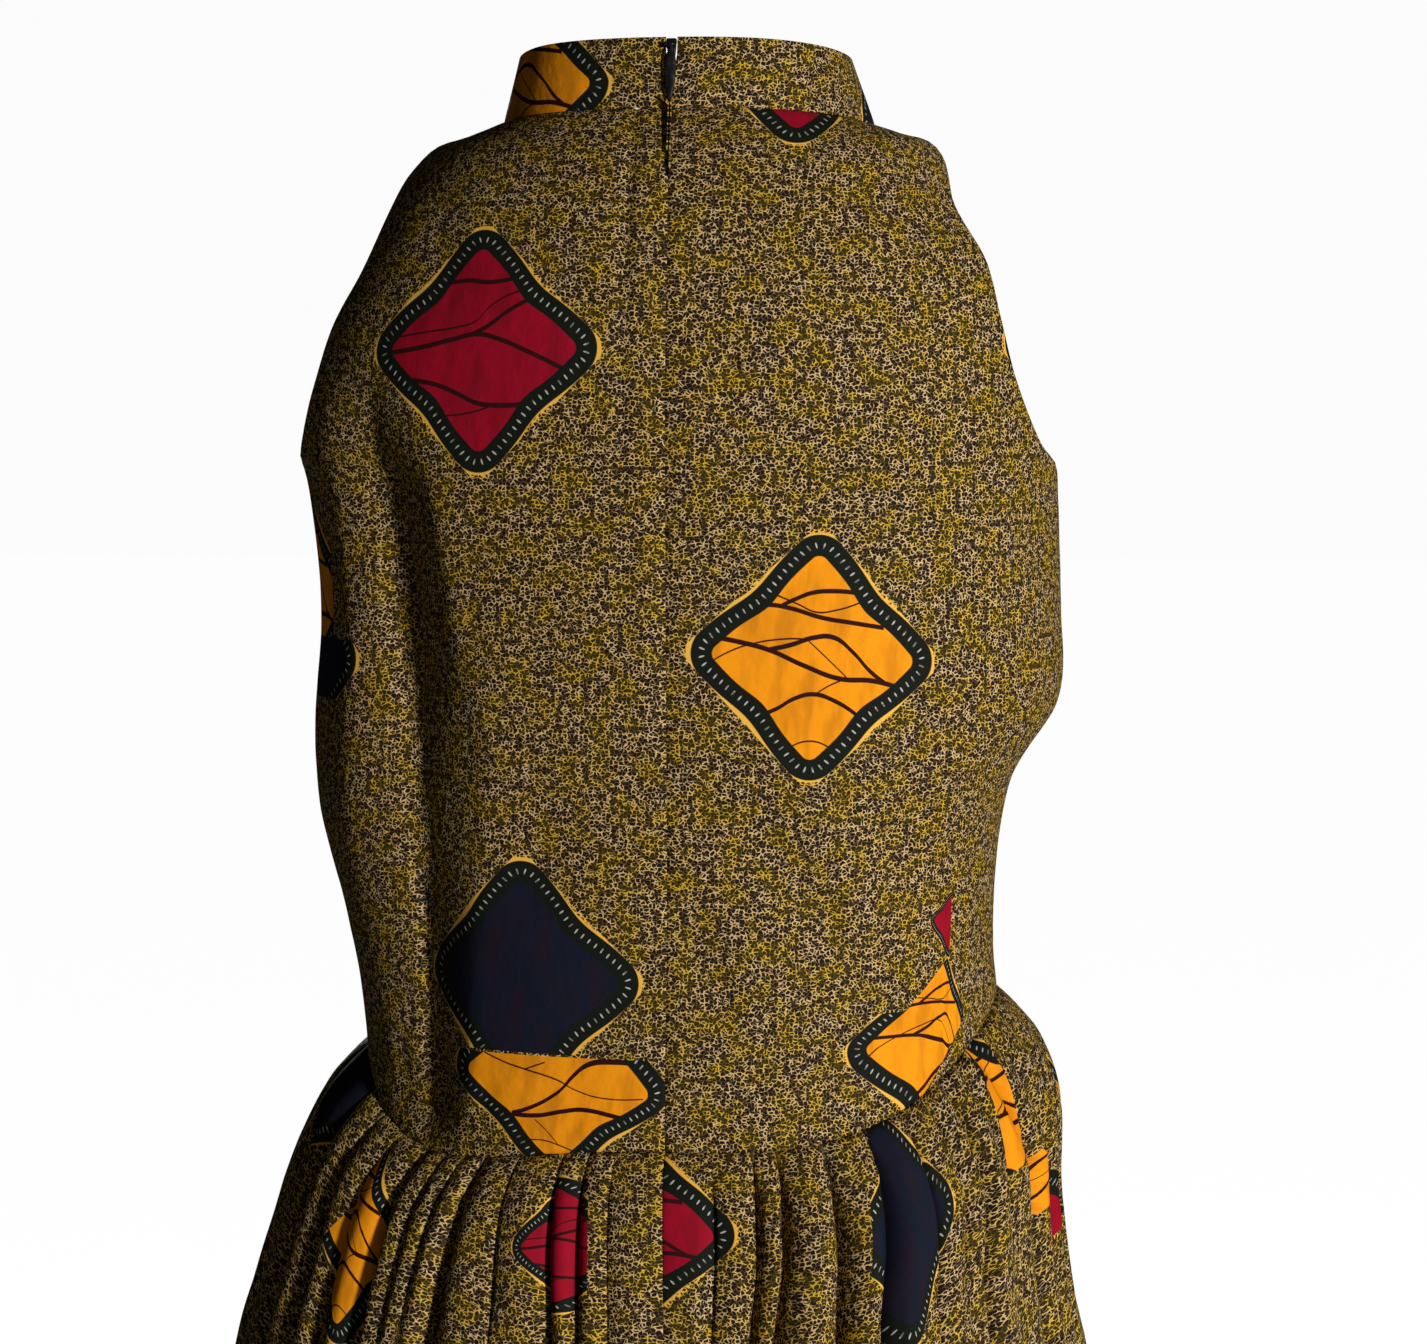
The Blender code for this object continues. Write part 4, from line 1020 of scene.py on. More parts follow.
def crackle(tree, cloth_x, cloth_y, edge):
    """The ground: a fine net of pale strokes, fainter here and there, round dark dots."""
    place = vector_of(tree, cloth_x / CRACKLE_CELL, cloth_y / CRACKLE_CELL_HEIGHT)
    bend = cloudy(tree, place, *BEND_NOISE).outputs["Color"]
    inputs = {0: bend, 1: (0.5, 0.5, 0.5)}
    centred = add_node(tree, "ShaderNodeVectorMath", inputs, operation="SUBTRACT").outputs[0]
    inputs = {0: centred, 1: (STROKE_BEND, STROKE_BEND, 0), 2: place}
    bent = add_node(tree, "ShaderNodeVectorMath", inputs, operation="MULTIPLY_ADD").outputs[0]
    net = add_node(
        tree,
        "ShaderNodeTexVoronoi",
        {"Vector": bent, "Scale": 1.0},
        voronoi_dimensions="2D",
        feature="DISTANCE_TO_EDGE",
    )
    away = Number(tree, net.outputs["Distance"])
    breaks, tone, shade = (
        clouds(tree, place, *waves) for waves in (BREAK_NOISE, TONE_NOISE, SHADE_NOISE)
    )
    spikes = edge.ramp(SPIKE_REACH, 0.0) * WIDER_AT_DIAMONDS
    reach = breaks.ramp(0.34, 0.66) * STROKE_WIDTH + LEAST_STROKE + spikes
    stroke = away.ramp(reach + 0.07, reach - 0.04) * (breaks.ramp(0.25, 0.55) * 0.4 + 0.6)
    ground = mixed_colour(tree, shade.ramp(0.44, 0.62), GROUND_DARK, GROUND_OLIVE)
    pale = mixed_colour(tree, tone.ramp(0.30, 0.72), STROKE_CREAM, STROKE_YELLOW)
    pale = mixed_colour(tree, edge.ramp(SPIKE_REACH, 0.5), pale, OUTLINE_GOLD)
    return mixed_colour(tree, stroke, ground, pale)


def fill_cover(tree, x, y, fill, veins):
    """The diamond's dyed middle: its fill, unevenly taken up, and its veins."""
    streaks = vector_of(tree, x * STREAKS[0], y * STREAKS[1])
    mottle = clouds(tree, streaks, 1.0, 3.0)
    deep = mixed_colour(tree, x * 0 + DEEPER_DYE, fill, VEIN_DARK)
    fill = mixed_colour(tree, mottle.ramp(0.72, 0.40), deep, fill)
    cover = x * 0
    for kind, lines in ((SPLIT, SPLIT_VEINS), (FORKED, FORKED_VEINS), (RISING, RISING_VEINS)):
        here = (veins - kind).size().below(0.5)
        cover = cover.most(vein_cover(tree, x, y, lines) * here)
    return mixed_colour(tree, cover, fill, VEIN_DARK)


def wax_print(name, diamonds=(), cell=None):
    """Printed cotton. diamonds are listed one by one, and cell scatters more, one to each cell."""
    made, tree, shader = new_finish(name)
    cloth_x, cloth_y = cloth_millimetres(tree)
    if cell:
        x, y, fill, veins = repeated_diamonds(tree, cloth_x, cloth_y, *cell)
    else:
        x, y, fill, veins = diamond_under(tree, cloth_x, cloth_y, diamonds)
    edge, dash = diamond_layers(x, y)
    colour = crackle(tree, cloth_x, cloth_y, edge)
    place = vector_of(tree, cloth_x, cloth_y)
    uneven, worn = clouds(tree, place, 0.03, 0), clouds(tree, place, 0.3, 1)
    rim = (uneven - 0.5) * UNEVEN_OUTLINE + OUTLINE_OUT
    colour = mixed_colour(tree, (edge - rim).ramp(0.35, -0.1), colour, OUTLINE_GOLD)
    inner = -OUTLINE_WIDTH
    colour = mixed_colour(tree, edge.ramp(inner + 0.25, inner - 0.2), colour, BORDER_DARK)
    dashes = dash.ramp(1.25, 0.6) * (worn.ramp(0.36, 0.52) * 0.65 + 0.35)
    colour = mixed_colour(tree, dashes, colour, DASH_CREAM)
    core = -(OUTLINE_WIDTH + BORDER_WIDTH)
    middle = fill_cover(tree, x, y, fill, veins)
    colour = mixed_colour(tree, edge.ramp(core + 0.2, core - 0.25), colour, middle)
    bump = weave_bump(tree, cloth_x, cloth_y)
    look = {"Base Color": colour, "Roughness": 0.8, "Specular IOR Level": 0.12, "Normal": bump}
    feed(tree, shader, look)
    return made


def weave_bump(tree, cloth_x, cloth_y):
    """The crossing threads of a plain weave, and a slight crumple."""
    turns = 2 * math.pi / WEAVE_PITCH
    threads = (cloth_x * turns).sine() * (cloth_y * turns).sine()
    crumple = clouds(tree, vector_of(tree, cloth_x, cloth_y), 0.16, 4.0)
    height = threads * THREAD_HEIGHT + crumple * CRUMPLE_HEIGHT
    inputs = {"Strength": BUMP_STRENGTH, "Distance": BUMP_DISTANCE, "Height": height}
    return add_node(tree, "ShaderNodeBump", inputs).outputs[0]


# ---------------------------------------------------------------- the zip and the stitching

TAPE_TOP, TAPE_LAST_DROP = 0.66, 12.0
TAPE_BEHIND = (0.24, 0.18, 0.20)  # behind the collar's, the bodice's and the skirt's outer faces
TAPE_HALF_WIDTH, TAPE_COLUMNS, TAPE_THICKNESS = 1.2, 17, 0.5 * MM
TAPE_COLLAR_ROWS, TAPE_BODICE_ROWS = 5, 90
TWILL_PITCH = 0.9
TEETH_BEHIND = 0.09
# Rounded bars: how far apart, half as long and half as wide as they are, and 1 to lie crosswise.
Bars = namedtuple("Bars", "spacing half_length half_width crosswise")
TEETH = Bars(1.25 * MM, 2.3 * MM, 0.48 * MM, 1.0)
HEM_STITCHES = Bars(3.2 * MM, 1.25 * MM, 0.3 * MM, 0.0)
HEM_STITCH_RISE = 2.0
BAR_SEGMENTS, BAR_RINGS = 8, 6
BAR_UNEVEN, BAR_SEED = (0.9, 1.1), 7

# What each finish is darkest and lightest in.
METAL_BLACKS = (0.010, 0.010, 0.011), (0.032, 0.031, 0.030)
TAPE_BLACKS = (0.008, 0.008, 0.009), (0.022, 0.022, 0.024)
NYLON_BLACKS = (0.008, 0.008, 0.009), (0.020, 0.020, 0.022)
THREAD_BROWNS = (0.020, 0.011, 0.006), (0.055, 0.035, 0.018)

ROUND_STEPS = 28  # how many sides a round part has
PIN_BELOW_TOP, PIN_OUT = 3.2 * MM, 1.9 * MM
# The slider, in millimetres across, inwards and up from the pin: its body's corners, and the cheek,
# the rivet's head and the pin on each side of the pull's eye.
SLIDER_LOW, SLIDER_HIGH = (-2.1, 1.5, -4.3), (2.1, 4.2, 3.1)
SLIDER_ROUNDING, SLIDER_TAPER = 0.7, 0.72
CHEEK_X, CHEEK_HALF_WIDTH, CHEEK_ROUNDING, CHEEK_RADIUS = 1.6, 0.3, 0.14, 1.25
CHEEK_LOW, CHEEK_HIGH = (-0.6, -1.1), (2.2, 1.1)
HEAD_X, HEAD_HALF_LENGTH, HEAD_RADIUS = 1.98, 0.1, 0.75
PIN_HALF_LENGTH, PIN_RADIUS = 1.7, 0.5
# The pull, in millimetres: how far below the pin, and half as wide and half as thick as it is.
PULL_SHAPE = (
    (0.75, 0.55, 0.38),
    (0.85, 0.85, 0.52),
    (1.6, 0.95, 0.60),
    (2.4, 1.10, 0.64),
    (3.2, 1.40, 0.66),
    (4.1, 1.72, 0.68),
    (5.2, 1.96, 0.70),
    (6.6, 2.12, 0.72),
    (8.4, 2.20, 0.73),
    (10.8, 2.22, 0.73),
    (13.2, 2.16, 0.72),
    (15.4, 2.02, 0.70),
    (17.4, 1.78, 0.68),
    (19.2, 1.44, 0.64),
    (20.8, 1.06, 0.58),
    (22.2, 0.68, 0.50),
    (23.2, 0.38, 0.36),
    (23.8, 0.16, 0.15),
)
# The section of the pull's eye, which goes round the pin: how far across and how far out.
EYE_SECTION = (
    (-0.95, 0.78), (-1.05, 0.90), (-1.05, 1.04), (-0.9, 1.16), (-0.5, 1.2), (0.5, 1.2),
    (0.9, 1.16), (1.05, 1.04), (1.05, 0.90), (0.95, 0.78), (0.5, 0.68), (-0.5, 0.68),
)  # fmt: skip


# ---------------------------------------------------------------- where the diamonds lie

TO_RIGHT, DOWN_RIGHT, DOWNWARDS, TO_LEFT = 0, 44, 90, 180  # the directions of cuts
UPWARDS, UP_LEFT = 270, 231
STEEP_LEFT, SLANT_LEFT, SLANT_RIGHT = 211, 135, 315

SKIRT_LEFT_DIAMONDS = (
    Diamond(-4.9, 3.9, 0, CRIMSON, FORKED, ((TO_RIGHT, 1.95),), (0.43, 1, 0.58, 0.52)),
    Diamond(
        -21.0, 4.4, 0, ORANGE, SPLIT, ((TO_RIGHT, 1.5), (STEEP_LEFT, 1.5)), (0.60, 0.45, 0.88, 0.90)
    ),
    Diamond(-30.8, 1.2, 0, NAVY, PLAIN, (), (0.40, 1, 1, 0.70)),
    Diamond(-14.6, 16.8, 5, NAVY, PLAIN),
    Diamond(-32.8, 18.6, -4, CRIMSON, FORKED),
    Diamond(-3.4, 24.6, 3, ORANGE, SPLIT),
    Diamond(-21.4, 30.8, 180, ORANGE, SPLIT),
    Diamond(-40.6, 32.4, 2, NAVY, PLAIN),
    Diamond(-8.2, 40.2, -5, CRIMSON, FORKED),
    Diamond(-28.6, 44.8, 4, NAVY, PLAIN),
    Diamond(-43.4, 47.4, 184, ORANGE, SPLIT),
    Diamond(-14.8, 55.2, 0, ORANGE, SPLIT),
    Diamond(-33.6, 58.4, 3, CRIMSON, FORKED),
)
# The strip of a folded diamond, beside the right side seam.
LOWER_STRIP = ((SLANT_LEFT, 0.95), (SLANT_RIGHT, 0.95), (UPWARDS, 1.3), (DOWNWARDS, 1.3))
UPPER_STRIP = ((TO_LEFT, 1.6), (TO_RIGHT, 1.5), (DOWNWARDS, 2.0))
SKIRT_RIGHT_DIAMONDS = (
    Diamond(-2.0, 3.4, 0, CRIMSON, SPLIT, (), (1, 1, 1, 0.85)),
    Diamond(16.6, 4.2, -4, NAVY, PLAIN, ((TO_LEFT, 3.1),), (0.80, 0.42, 1, 1)),
    Diamond(29.4, 10.8, 0, CRIMSON, PLAIN, ((TO_LEFT, 0.9), (DOWNWARDS, -0.8)), (1, 1.2, 0.85, 1)),
    Diamond(27.7, 6.6, -45, ORANGE, SPLIT, LOWER_STRIP, (0.60, 0.60, 1, 1)),
    Diamond(25.6, 3.0, -3, ORANGE, SPLIT, UPPER_STRIP, (0.75, 0.75, 0.85, 1)),
    Diamond(9.6, 16.6, -4, ORANGE, SPLIT),
    Diamond(27.4, 17.8, 3, CRIMSON, FORKED),
    Diamond(2.2, 29.8, 0, NAVY, PLAIN),
    Diamond(19.2, 30.6, 184, ORANGE, SPLIT),
    Diamond(38.4, 27.2, 5, NAVY, PLAIN),
    Diamond(10.6, 43.8, 2, CRIMSON, FORKED),
    Diamond(29.6, 42.6, -3, NAVY, PLAIN),
    Diamond(44.8, 44.4, 0, ORANGE, SPLIT),
    Diamond(1.4, 56.6, 180, ORANGE, SPLIT),
    Diamond(20.4, 57.2, 4, CRIMSON, FORKED),
    Diamond(37.6, 58.6, 0, ORANGE, SPLIT),
)
COLLAR_DIAMONDS = (
    Diamond(-7.3, 1.45, 4, ORANGE, SPLIT),
    Diamond(14.0, 2.6, 0, NAVY, PLAIN),
)
BACK_LEFT_DIAMONDS = (
    Diamond(-7.45, 10.4, 0, CRIMSON, FORKED),
    Diamond(-19.6, 20.4, 0, ORANGE, SPLIT, ((TO_RIGHT, 3.3), (DOWNWARDS, 1.7))),
    Diamond(-19.2, 22.9, 0, NAVY, PLAIN, ((UPWARDS, 0.8), (DOWNWARDS, 1.7))),
    Diamond(-5.9, 35.4, 0, NAVY, PLAIN, ((DOWNWARDS, 2.95),)),
    Diamond(-4.25, 39.55, 5, ORANGE, RISING, ((UPWARDS, 1.1),), (1.02, 0.90, 1, 0.76)),
)
BACK_RIGHT_DIAMONDS = (
    Diamond(5.8, 22.4, 3, ORANGE, SPLIT),
    Diamond(5.3, -2.85, 4, CRIMSON, FORKED),
    Diamond(19.3, 10.1, 0, NAVY, PLAIN),
    *(
        Diamond(12.2, 37.75, -6, ORANGE, SPLIT, (cut, (DOWN_RIGHT, 0.9)), (1.02, 0.33, 0.70, 1))
        for cut in ((UPWARDS, 1.0), (UP_LEFT, 2.2))
    ),
    Diamond(12.4, 33.2, 0, CRIMSON, PLAIN, ((TO_RIGHT, 0),), (0.26, 1, 0.22, 0.34)),
)
# Where they are scattered, the size of the cells that each holds one, how much of a cell one takes
# from its middle, in millimetres, and the random numbers up to which it is navy or crimson.
SCATTER, ROOM_FOR_ONE = (150.0, 132.0), 50
NAVY_UP_TO, CRIMSON_UP_TO = 0.33, 0.66

# ---------------------------------------------------------------- put together

# Each quarter of cloth laid flat, in metres: across and down. A bodice piece fills a share of that.
BODICE_FLAT, SKIRT_FLAT, BODICE_FILLS = (0.25, 0.43), (0.46, 0.60), 0.82
ClothPiece = namedtuple(
    "ClothPiece", "node half sides print_name diamonds cell", defaults=((), None)
)
CLOTH_PIECES = (
    ClothPiece("bodice_back_left", BACK, (LEFT,), "left back", BACK_LEFT_DIAMONDS),
    ClothPiece("bodice_back_right", BACK, (RIGHT,), "right back", BACK_RIGHT_DIAMONDS),
    ClothPiece("bodice_front", FRONT, (LEFT, RIGHT), "front", cell=SCATTER),
    ClothPiece("skirt_back_left", BACK, (LEFT,), "left skirt", SKIRT_LEFT_DIAMONDS),
    ClothPiece("skirt_back_right", BACK, (RIGHT,), "right skirt", SKIRT_RIGHT_DIAMONDS),
    ClothPiece("skirt_front", FRONT, (LEFT, RIGHT), "front skirt", cell=SCATTER),
)


def dress_piece(made, node):
    """Hangs a piece of the dress on the dress's body, and hides the solid that it takes the place
    of.
    """
    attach(made, "dress")
    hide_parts(node)


def hem_line(points, down):
    """The line of a skirt piece's hem stitching, between its side seams."""
    depth = down.mean(axis=0)
    row = int(np.argmin(np.abs(depth - (depth.max() - HEM_STITCH_RISE))))
    turned = len(TURNINGS[0])
    return points[turned:-turned, row]


def make_cloth():
    """The bodice, the skirt with its hem stitching, and the collar."""
    grids, finishes, hems = [], [], []
    for piece in CLOTH_PIECES:
        grid = skirt_piece if piece.node.startswith("skirt") else bodice_piece
        grids.append(grid(piece.half, piece.sides))
        finishes.append(wax_print(piece.print_name, piece.diamonds, piece.cell))
    for piece, (points, across, down), finish in zip(CLOTH_PIECES, grids, finishes):
        made = cloth_object(f"{piece.node}_cloth", points, across, down, finish)
        in_skirt = piece.node.startswith("skirt")
        wide, tall = SKIRT_FLAT if in_skirt else BODICE_FLAT
        wide *= len(piece.sides)
        if in_skirt:
            dress_piece(made, piece.node)
            hems.append(hem_line(points, down))
        else:
            area = wide * tall * BODICE_FILLS
            dress_piece(made, piece.node)
    collar = make_collar(wax_print("collar", COLLAR_DIAMONDS))
    dress_piece(collar, "collar")
    sewn = thread("dark thread", *THREAD_BROWNS)
    stitches = bars_along("hem_stitches", hems, sewn, HEM_STITCHES)
    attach(stitches, "dress")


def make_zip():
    """The zip's tape, teeth, slider and pull."""
    metal = black_metal()
    nylon = thread("black nylon", *NYLON_BLACKS)
    make_zip_tape(woven_tape(), nylon)
    make_zip_slider(metal)
    make_zip_pull(metal)


def tape_line():
    """The tape's own line down the back, (y, z), behind the collar, the bodice and the skirt."""
    collar = collar_grid(BACK, RIGHT, [0.0], np.linspace(TAPE_TOP, 0, TAPE_COLLAR_ROWS)[:-1])[0]
    levels = np.linspace(0, WAIST, TAPE_BODICE_ROWS)
    bodice = bodice_grid(BACK, RIGHT, [0.0], levels)[0]
    rows = skirt_rows()
    drop = along(SKIRT, rows, "drop")
    kept = (drop > 0) & (drop <= TAPE_LAST_DROP)
    low = BODICE[-1].back_z - drop[kept]
    skirt = np.stack([low * 0, -along(SKIRT, rows, "back")[kept], low], axis=-1)
    line = np.concatenate([collar, bodice, skirt])[:, 1:]
    behind = np.repeat(TAPE_BEHIND, (len(collar), len(bodice), len(skirt)))
    slope = np.gradient(line, axis=0)
    inward = np.stack([-slope[:, 1], slope[:, 0]], axis=-1)
    inward /= np.linalg.norm(inward, axis=-1, keepdims=True)
    return line + inward * behind[:, None], inward


def make_zip_tape(finish, teeth_finish):
    """The tape behind the opening, and the teeth on it."""
    line, inward = tape_line()
    xs = np.linspace(-TAPE_HALF_WIDTH, TAPE_HALF_WIDTH, TAPE_COLUMNS)
    points = np.stack(np.broadcast_arrays(xs[:, None], line[:, 0], line[:, 1]), axis=-1)
    down = running_length(points, axis=1)
    tape = cloth_object("zip_tape_cloth", points, points[..., 0], down, finish, TAPE_THICKNESS)
    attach(tape, "dress")
    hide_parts("zip_tape")
    behind = line + inward * TEETH_BEHIND
    path = np.stack([behind[:, 0] * 0, behind[:, 0], behind[:, 1]], axis=-1)
    teeth = bars_along("zip_teeth", [path], teeth_finish, TEETH)
    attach(teeth, "dress")


def bar_tree():
    """A tree that sets small rounded bars one after another along a line."""
    tree = bpy.data.node_groups.new("bars along a line", "GeometryNodeTree")
    sockets = tree.interface
    sockets.new_socket("Line", in_out="INPUT", socket_type="NodeSocketGeometry")
    for name in Bars._fields:
        sockets.new_socket(name, in_out="INPUT", socket_type="NodeSocketFloat")
    sockets.new_socket("finish", in_out="INPUT", socket_type="NodeSocketMaterial")
    sockets.new_socket("Bars", in_out="OUTPUT", socket_type="NodeSocketGeometry")
    given = add_node(tree, "NodeGroupInput", {}).outputs
    curve = add_node(tree, "GeometryNodeMeshToCurve", {"Mesh": given["Line"]})
    inputs = {"Curve": curve.outputs["Curve"], "Length": given["spacing"]}
    places = add_node(tree, "GeometryNodeCurveToPoints", inputs, mode="LENGTH").outputs
    inputs = {"Segments": BAR_SEGMENTS, "Rings": BAR_RINGS, "Radius": 1.0}
    bar = add_node(tree, "GeometryNodeMeshUVSphere", inputs)
    inputs = {0: given["crosswise"], 4: places["Tangent"], 5: (1, 0, 0)}
    way = add_node(tree, "ShaderNodeMix", inputs, data_type="VECTOR").outputs[1]
    turn = add_node(tree, "FunctionNodeAlignRotationToVector", {"Vector": way}, axis="Z")
    inputs = {2: BAR_UNEVEN[0], 3: BAR_UNEVEN[1], 8: BAR_SEED}
    uneven = add_node(tree, "FunctionNodeRandomValue", inputs, data_type="FLOAT").outputs[1]
    inputs = {0: given["half_length"], 1: uneven}
    length = add_node(tree, "ShaderNodeMath", inputs, operation="MULTIPLY").outputs[0]
    inputs = {0: given["half_width"], 1: given["half_width"], 2: length}
    size = add_node(tree, "ShaderNodeCombineXYZ", inputs).outputs[0]
    inputs = {
        "Points": places["Points"],
        "Instance": bar.outputs["Mesh"],
        "Rotation": turn.outputs["Rotation"],
        "Scale": size,
    }
    laid = add_node(tree, "GeometryNodeInstanceOnPoints", inputs).outputs["Instances"]
    real = add_node(tree, "GeometryNodeRealizeInstances", {"Geometry": laid}).outputs["Geometry"]
    even = add_node(tree, "GeometryNodeSetShadeSmooth", {"Geometry": real}).outputs["Geometry"]
    inputs = {"Geometry": even, "Material": given["finish"]}
    done = add_node(tree, "GeometryNodeSetMaterial", inputs).outputs["Geometry"]
    add_node(tree, "NodeGroupOutput", {"Bars": done})
    return tree


def bars_along(name, paths, finish, bars):
    """Small bars along lines of points, which are in centimetres, as one plain mesh."""
    points, edges = [], []
    for path in paths:
        first = len(points)
        points += (path * CM).tolist()
        edges += [(first + i, first + i + 1) for i in range(len(path) - 1)]
    mesh = bpy.data.meshes.new(f"{name} line")
    mesh.from_pydata(points, edges, [])
    made = placed(name, mesh)
    tree = bar_tree()
    grown = made.modifiers.new("bars", "NODES")
    grown.node_group = tree
    values = {**bars._asdict(), "finish": finish}
    for item in tree.interface.items_tree:
        if item.in_out == "INPUT" and item.name in values:
            grown[item.identifier] = values[item.name]
    seen = made.evaluated_get(bpy.context.evaluated_depsgraph_get())
    plain = bpy.data.meshes.new_from_object(seen)
    made.modifiers.clear()
    made.data = plain
    bpy.data.meshes.remove(mesh)
    return made


def zip_place(points):
    """Millimetres across, inwards and up from the pull's pin, as metres in the dress's frame."""
    top = collar_grid(BACK, LEFT, [0.0], [1.0])[0, 0] * CM
    foot = collar_grid(BACK, LEFT, [0.0], [0.0])[0, 0] * CM
    down = Vector((0, foot[1] - top[1], foot[2] - top[2])).normalized()
    out = Vector((0, down.z, -down.y))
    pin = Vector((0, top[1], top[2])) + down * PIN_BELOW_TOP + out * PIN_OUT
    return [pin + Vector((x * MM, 0, 0)) - out * (y * MM) - down * (z * MM) for x, y, z in points]


def metal_object(name, shape, finish, body, node):
    """A bmesh in the zip's own millimetres, set in its place on the dress."""
    for vert, place in zip(shape.verts, zip_place([vert.co.copy() for vert in shape.verts])):
        vert.co = place
    bmesh.ops.recalc_face_normals(shape, faces=shape.faces)
    mesh = bpy.data.meshes.new(name)
    shape.to_mesh(mesh)
    shape.free()
    mesh.shade_smooth()
    mesh.set_sharp_from_angle(angle=math.radians(SHARP_METAL))
    mesh.materials.append(finish)
    made = placed(name, mesh)
    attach(made, body)
    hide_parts(node)


def rounded_block(shape, low, high, radius, taper=1.0):
    """A block with rounded edges. taper is its width at the foot, as a share of that at the top."""
    block = bmesh.ops.create_cube(shape, size=1)["verts"]
    for vert in block:
        share = [axis + 0.5 for axis in vert.co]
        x, y, z = (a + (b - a) * t for a, b, t in zip(low, high, share))
        vert.co = Vector((x * (taper + (1 - taper) * share[2]), y, z))
    edges = {edge for vert in block for edge in vert.link_edges}
    bmesh.ops.bevel(
        shape, geom=list(edges), offset=radius, segments=4, profile=0.5, affect="EDGES"
    )


def rod_across(shape, x, half_length, radius):
    """A round rod that lies across, with its middle at x and its axis on the pin's."""
    ends = bmesh.ops.create_cone(
        shape,
        cap_ends=True,
        segments=ROUND_STEPS,
        radius1=radius,
        radius2=radius,
        depth=2 * half_length,
    )["verts"]
    for vert in ends:
        vert.co = Vector((vert.co.z + x, vert.co.y, -vert.co.x))


def make_zip_slider(finish):
    """A rounded body, with two cheeks on it that hold the pull's pin."""
    shape = bmesh.new()
    rounded_block(shape, SLIDER_LOW, SLIDER_HIGH, SLIDER_ROUNDING, SLIDER_TAPER)
    for side in (LEFT, RIGHT):
        x = side * CHEEK_X
        low = (x - CHEEK_HALF_WIDTH, *CHEEK_LOW)
        high = (x + CHEEK_HALF_WIDTH, *CHEEK_HIGH)
        rounded_block(shape, low, high, CHEEK_ROUNDING)
        rod_across(shape, x, CHEEK_HALF_WIDTH, CHEEK_RADIUS)
        rod_across(shape, side * HEAD_X, HEAD_HALF_LENGTH, HEAD_RADIUS)
    rod_across(shape, 0, PIN_HALF_LENGTH, PIN_RADIUS)
    metal_object("zip_slider_cast", shape, finish, "dress", "zip_slider")


def skin(shape, loops):
    """Faces between each loop of points and the next."""
    for here, after in zip(loops, loops[1:]):
        for i in range(len(here)):
            shape.faces.new((here[i - 1], here[i], after[i], after[i - 1]))


def make_zip_pull(finish):
    """A teardrop that hangs from the pin by a rounded eye."""
    shape = bmesh.new()
    turns = [2 * math.pi * i / ROUND_STEPS for i in range(ROUND_STEPS)]
    drop = [
        [
            shape.verts.new((width * math.cos(turn), thick * math.sin(turn), -down))
            for turn in turns
        ]
        for down, width, thick in PULL_SHAPE
    ]
    skin(shape, drop)
    shape.faces.new(drop[0])
    shape.faces.new(drop[-1])
    eye = [
        [
            shape.verts.new((x, reach * math.cos(turn), reach * math.sin(turn)))
            for x, reach in EYE_SECTION
        ]
        for turn in turns
    ]
    skin(shape, eye + eye[:1])
    metal_object("zip_pull_drop", shape, finish, "zip_pull", "zip_pull")


# ---------------------------------------------------------------- the other finishes


def black_metal():
    """Black lacquered metal, a little rubbed and greyer here and there."""
    made, tree, shader = new_finish("black lacquered metal")
    share = grain(tree, 420, 3).ramp(0.45, 0.72)
    colour = mixed_colour(tree, share, *METAL_BLACKS)
    look = {"Base Color": colour, "Roughness": share * 0.12 + 0.36, "Metallic": 0.4}
    feed(tree, shader, look)
    return made


def woven_tape():
    """Black tape in a fine twill."""
    made, tree, shader = new_finish("black woven tape")
    x, y = cloth_millimetres(tree)
    twill = ((x + y) * (2 * math.pi / TWILL_PITCH)).sine() * 0.5 + 0.5
    colour = mixed_colour(tree, twill, *TAPE_BLACKS)
    feed(tree, shader, {"Base Color": colour, "Roughness": 0.85, "Specular IOR Level": 0.2})
    return made


def thread(name, darkest, lightest):
    """Twisted thread or drawn nylon, a little uneven in colour."""
    made, tree, shader = new_finish(name)
    share = grain(tree, 900).ramp(0.35, 0.65)
    colour = mixed_colour(tree, share, darkest, lightest)
    feed(tree, shader, {"Base Color": colour, "Roughness": 0.6})
    return made


# ---------------------------------------------------------------- the studio

FLOOR_HALF_WIDTH, FLOOR_Z = 30.0, -1.45
FLOOR_PAINT, FLOOR_GLOW = (0.35, 0.35, 0.35, 1), 0.97
ROOM_LIGHT, ROOM_STRENGTH, BACKDROP = (1, 0.98, 0.95, 1), 0.025, (0.97, 0.97, 0.97, 1)
Lamp = namedtuple("Lamp", "name place power size")
LAMPS = (
    Lamp("key light", (1.86, -2.06, -0.1), 80, 0.3),
    Lamp("fill light", (0.5, -2.7, 0.2), 0.9, 1.2),
    Lamp("front light", (-0.78, 2.7, 0.2), 36, 0.4),
)
LAMPS_AIM = (0, 0, -0.25)
CAMERA_LENS, CAMERA_SENSOR = 71.32, 36.0
CAMERA_DISTANCE, CAMERA_HEIGHT = 1.2, -0.13
CAMERA_AROUND, CAMERA_TILT, CAMERA_TURN = 6.0, 4.75, -0.517


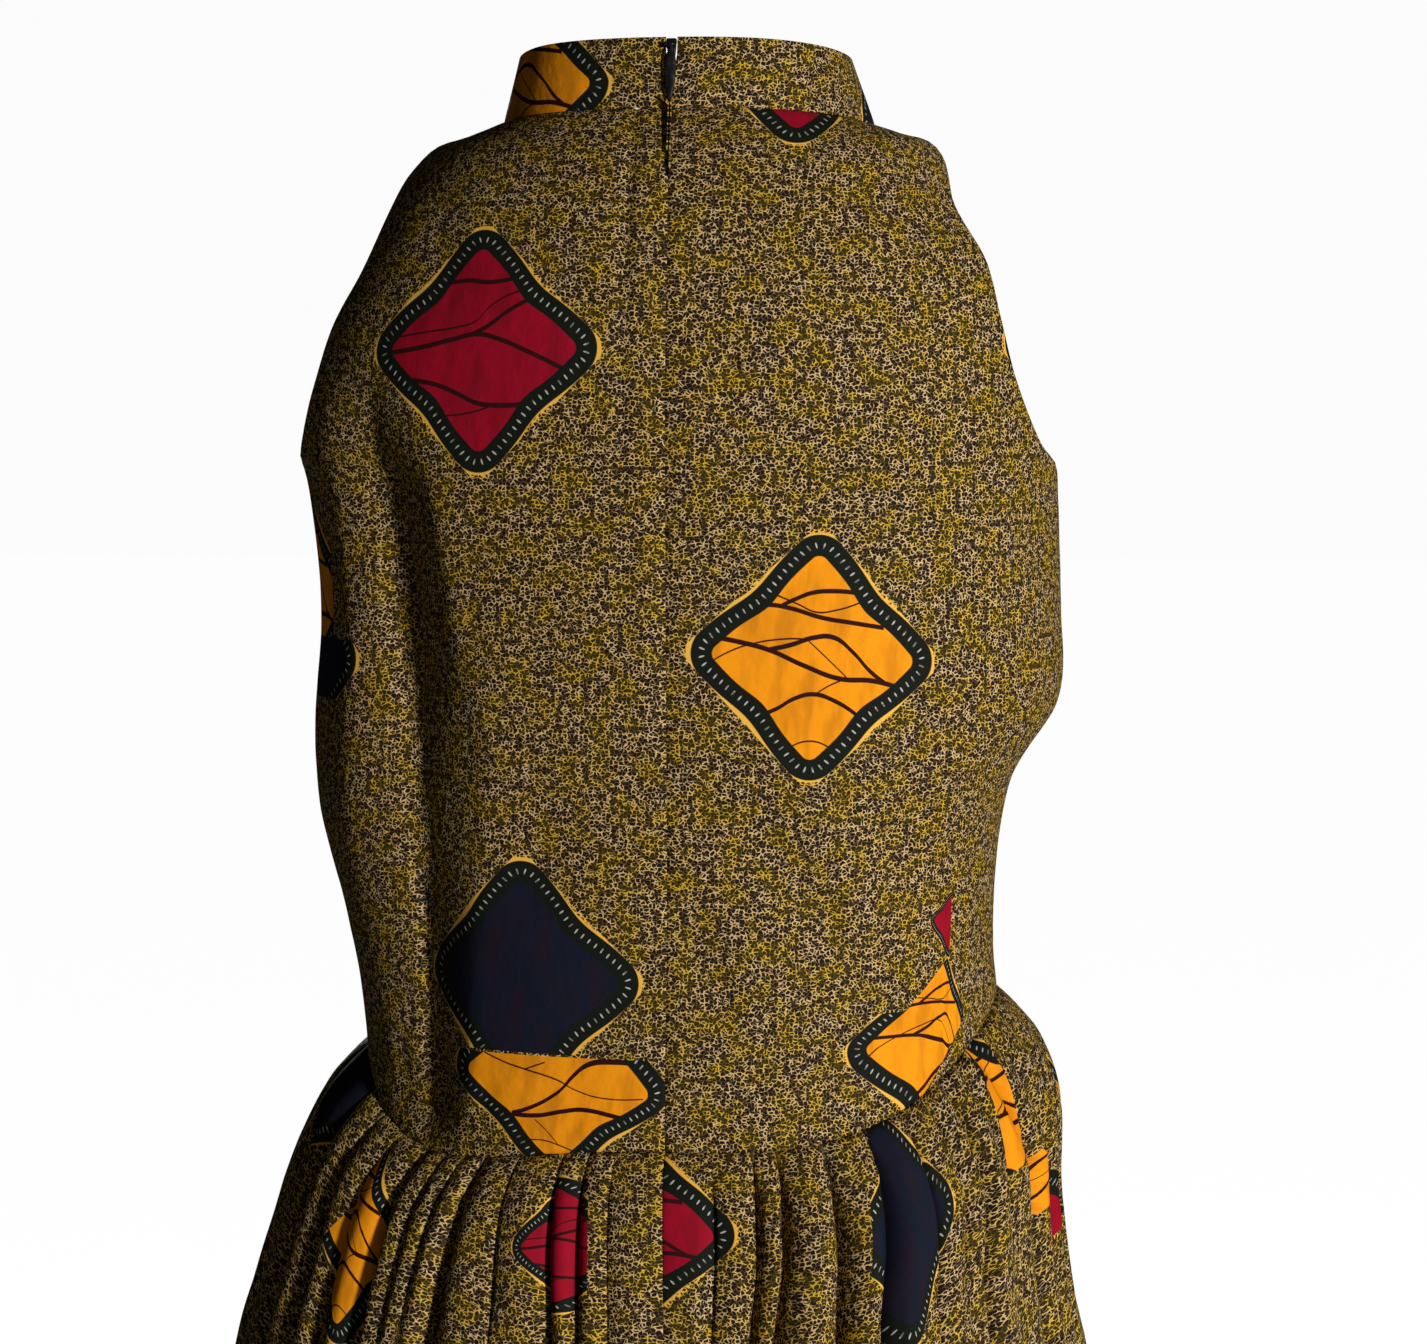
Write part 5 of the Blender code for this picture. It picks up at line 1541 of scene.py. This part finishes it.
def make_floor():
    """A plain pale floor, which glows only as the camera sees it."""
    near, far = -FLOOR_HALF_WIDTH, FLOOR_HALF_WIDTH
    corners = [(x, y, FLOOR_Z) for x, y in ((near, near), (far, near), (far, far), (near, far))]
    mesh = bpy.data.meshes.new("floor")
    mesh.from_pydata(corners, [], [(0, 1, 2, 3)])
    pale, tree, paint = new_finish("pale floor")
    seen = Number(tree, add_node(tree, "ShaderNodeLightPath", {}).outputs["Is Camera Ray"])
    feed(tree, paint, {"Base Color": FLOOR_PAINT, "Roughness": 0.9})
    feed(tree, paint, {"Emission Color": (1, 1, 1, 1), "Emission Strength": seen * FLOOR_GLOW})
    mesh.materials.append(pale)
    placed("floor", mesh)


def make_backdrop():
    """A dim, even light from all round, which the camera sees as a bright backdrop."""
    world = bpy.data.worlds.new("studio")
    bpy.context.scene.world = world
    world.use_nodes = True
    tree = world.node_tree
    room = tree.nodes["Background"]
    feed(tree, room, {"Color": ROOM_LIGHT, "Strength": ROOM_STRENGTH})
    backdrop = add_node(tree, "ShaderNodeBackground", {"Color": BACKDROP})
    seen = add_node(tree, "ShaderNodeLightPath", {}).outputs["Is Camera Ray"]
    inputs = {0: seen, 1: room.outputs[0], 2: backdrop.outputs[0]}
    choice = add_node(tree, "ShaderNodeMixShader", inputs)
    feed(tree, tree.nodes["World Output"], {"Surface": choice.outputs[0]})


def make_lights():
    """The lamps, each turned towards the dress."""
    for lamp in LAMPS:
        made = bpy.data.lights.new(lamp.name, "AREA")
        made.energy, made.size = lamp.power, lamp.size
        light = placed(lamp.name, made)
        light.location = lamp.place
        aim = Vector(LAMPS_AIM) - Vector(lamp.place)
        light.rotation_euler = aim.to_track_quat("-Z", "Y").to_euler()


def make_camera():
    """The camera, behind the dress and a little to its right."""
    lens = bpy.data.cameras.new("camera")
    lens.sensor_width, lens.lens = CAMERA_SENSOR, CAMERA_LENS
    camera = placed("camera", lens)
    around = math.radians(CAMERA_AROUND)
    out = (math.sin(around), -math.cos(around))
    camera.location = (CAMERA_DISTANCE * out[0], CAMERA_DISTANCE * out[1], CAMERA_HEIGHT)
    tilt, turn = math.radians(90 - CAMERA_TILT), around + math.radians(CAMERA_TURN)
    camera.rotation_euler = (tilt, 0, turn)
    bpy.context.scene.camera = camera


def studio():
    """A pale floor and backdrop, a light on the right, a weak one behind and one in front."""
    make_floor()
    make_backdrop()
    make_lights()
    make_camera()
    bpy.context.scene.view_settings.view_transform = "Standard"


make_cloth()
make_zip()
studio()
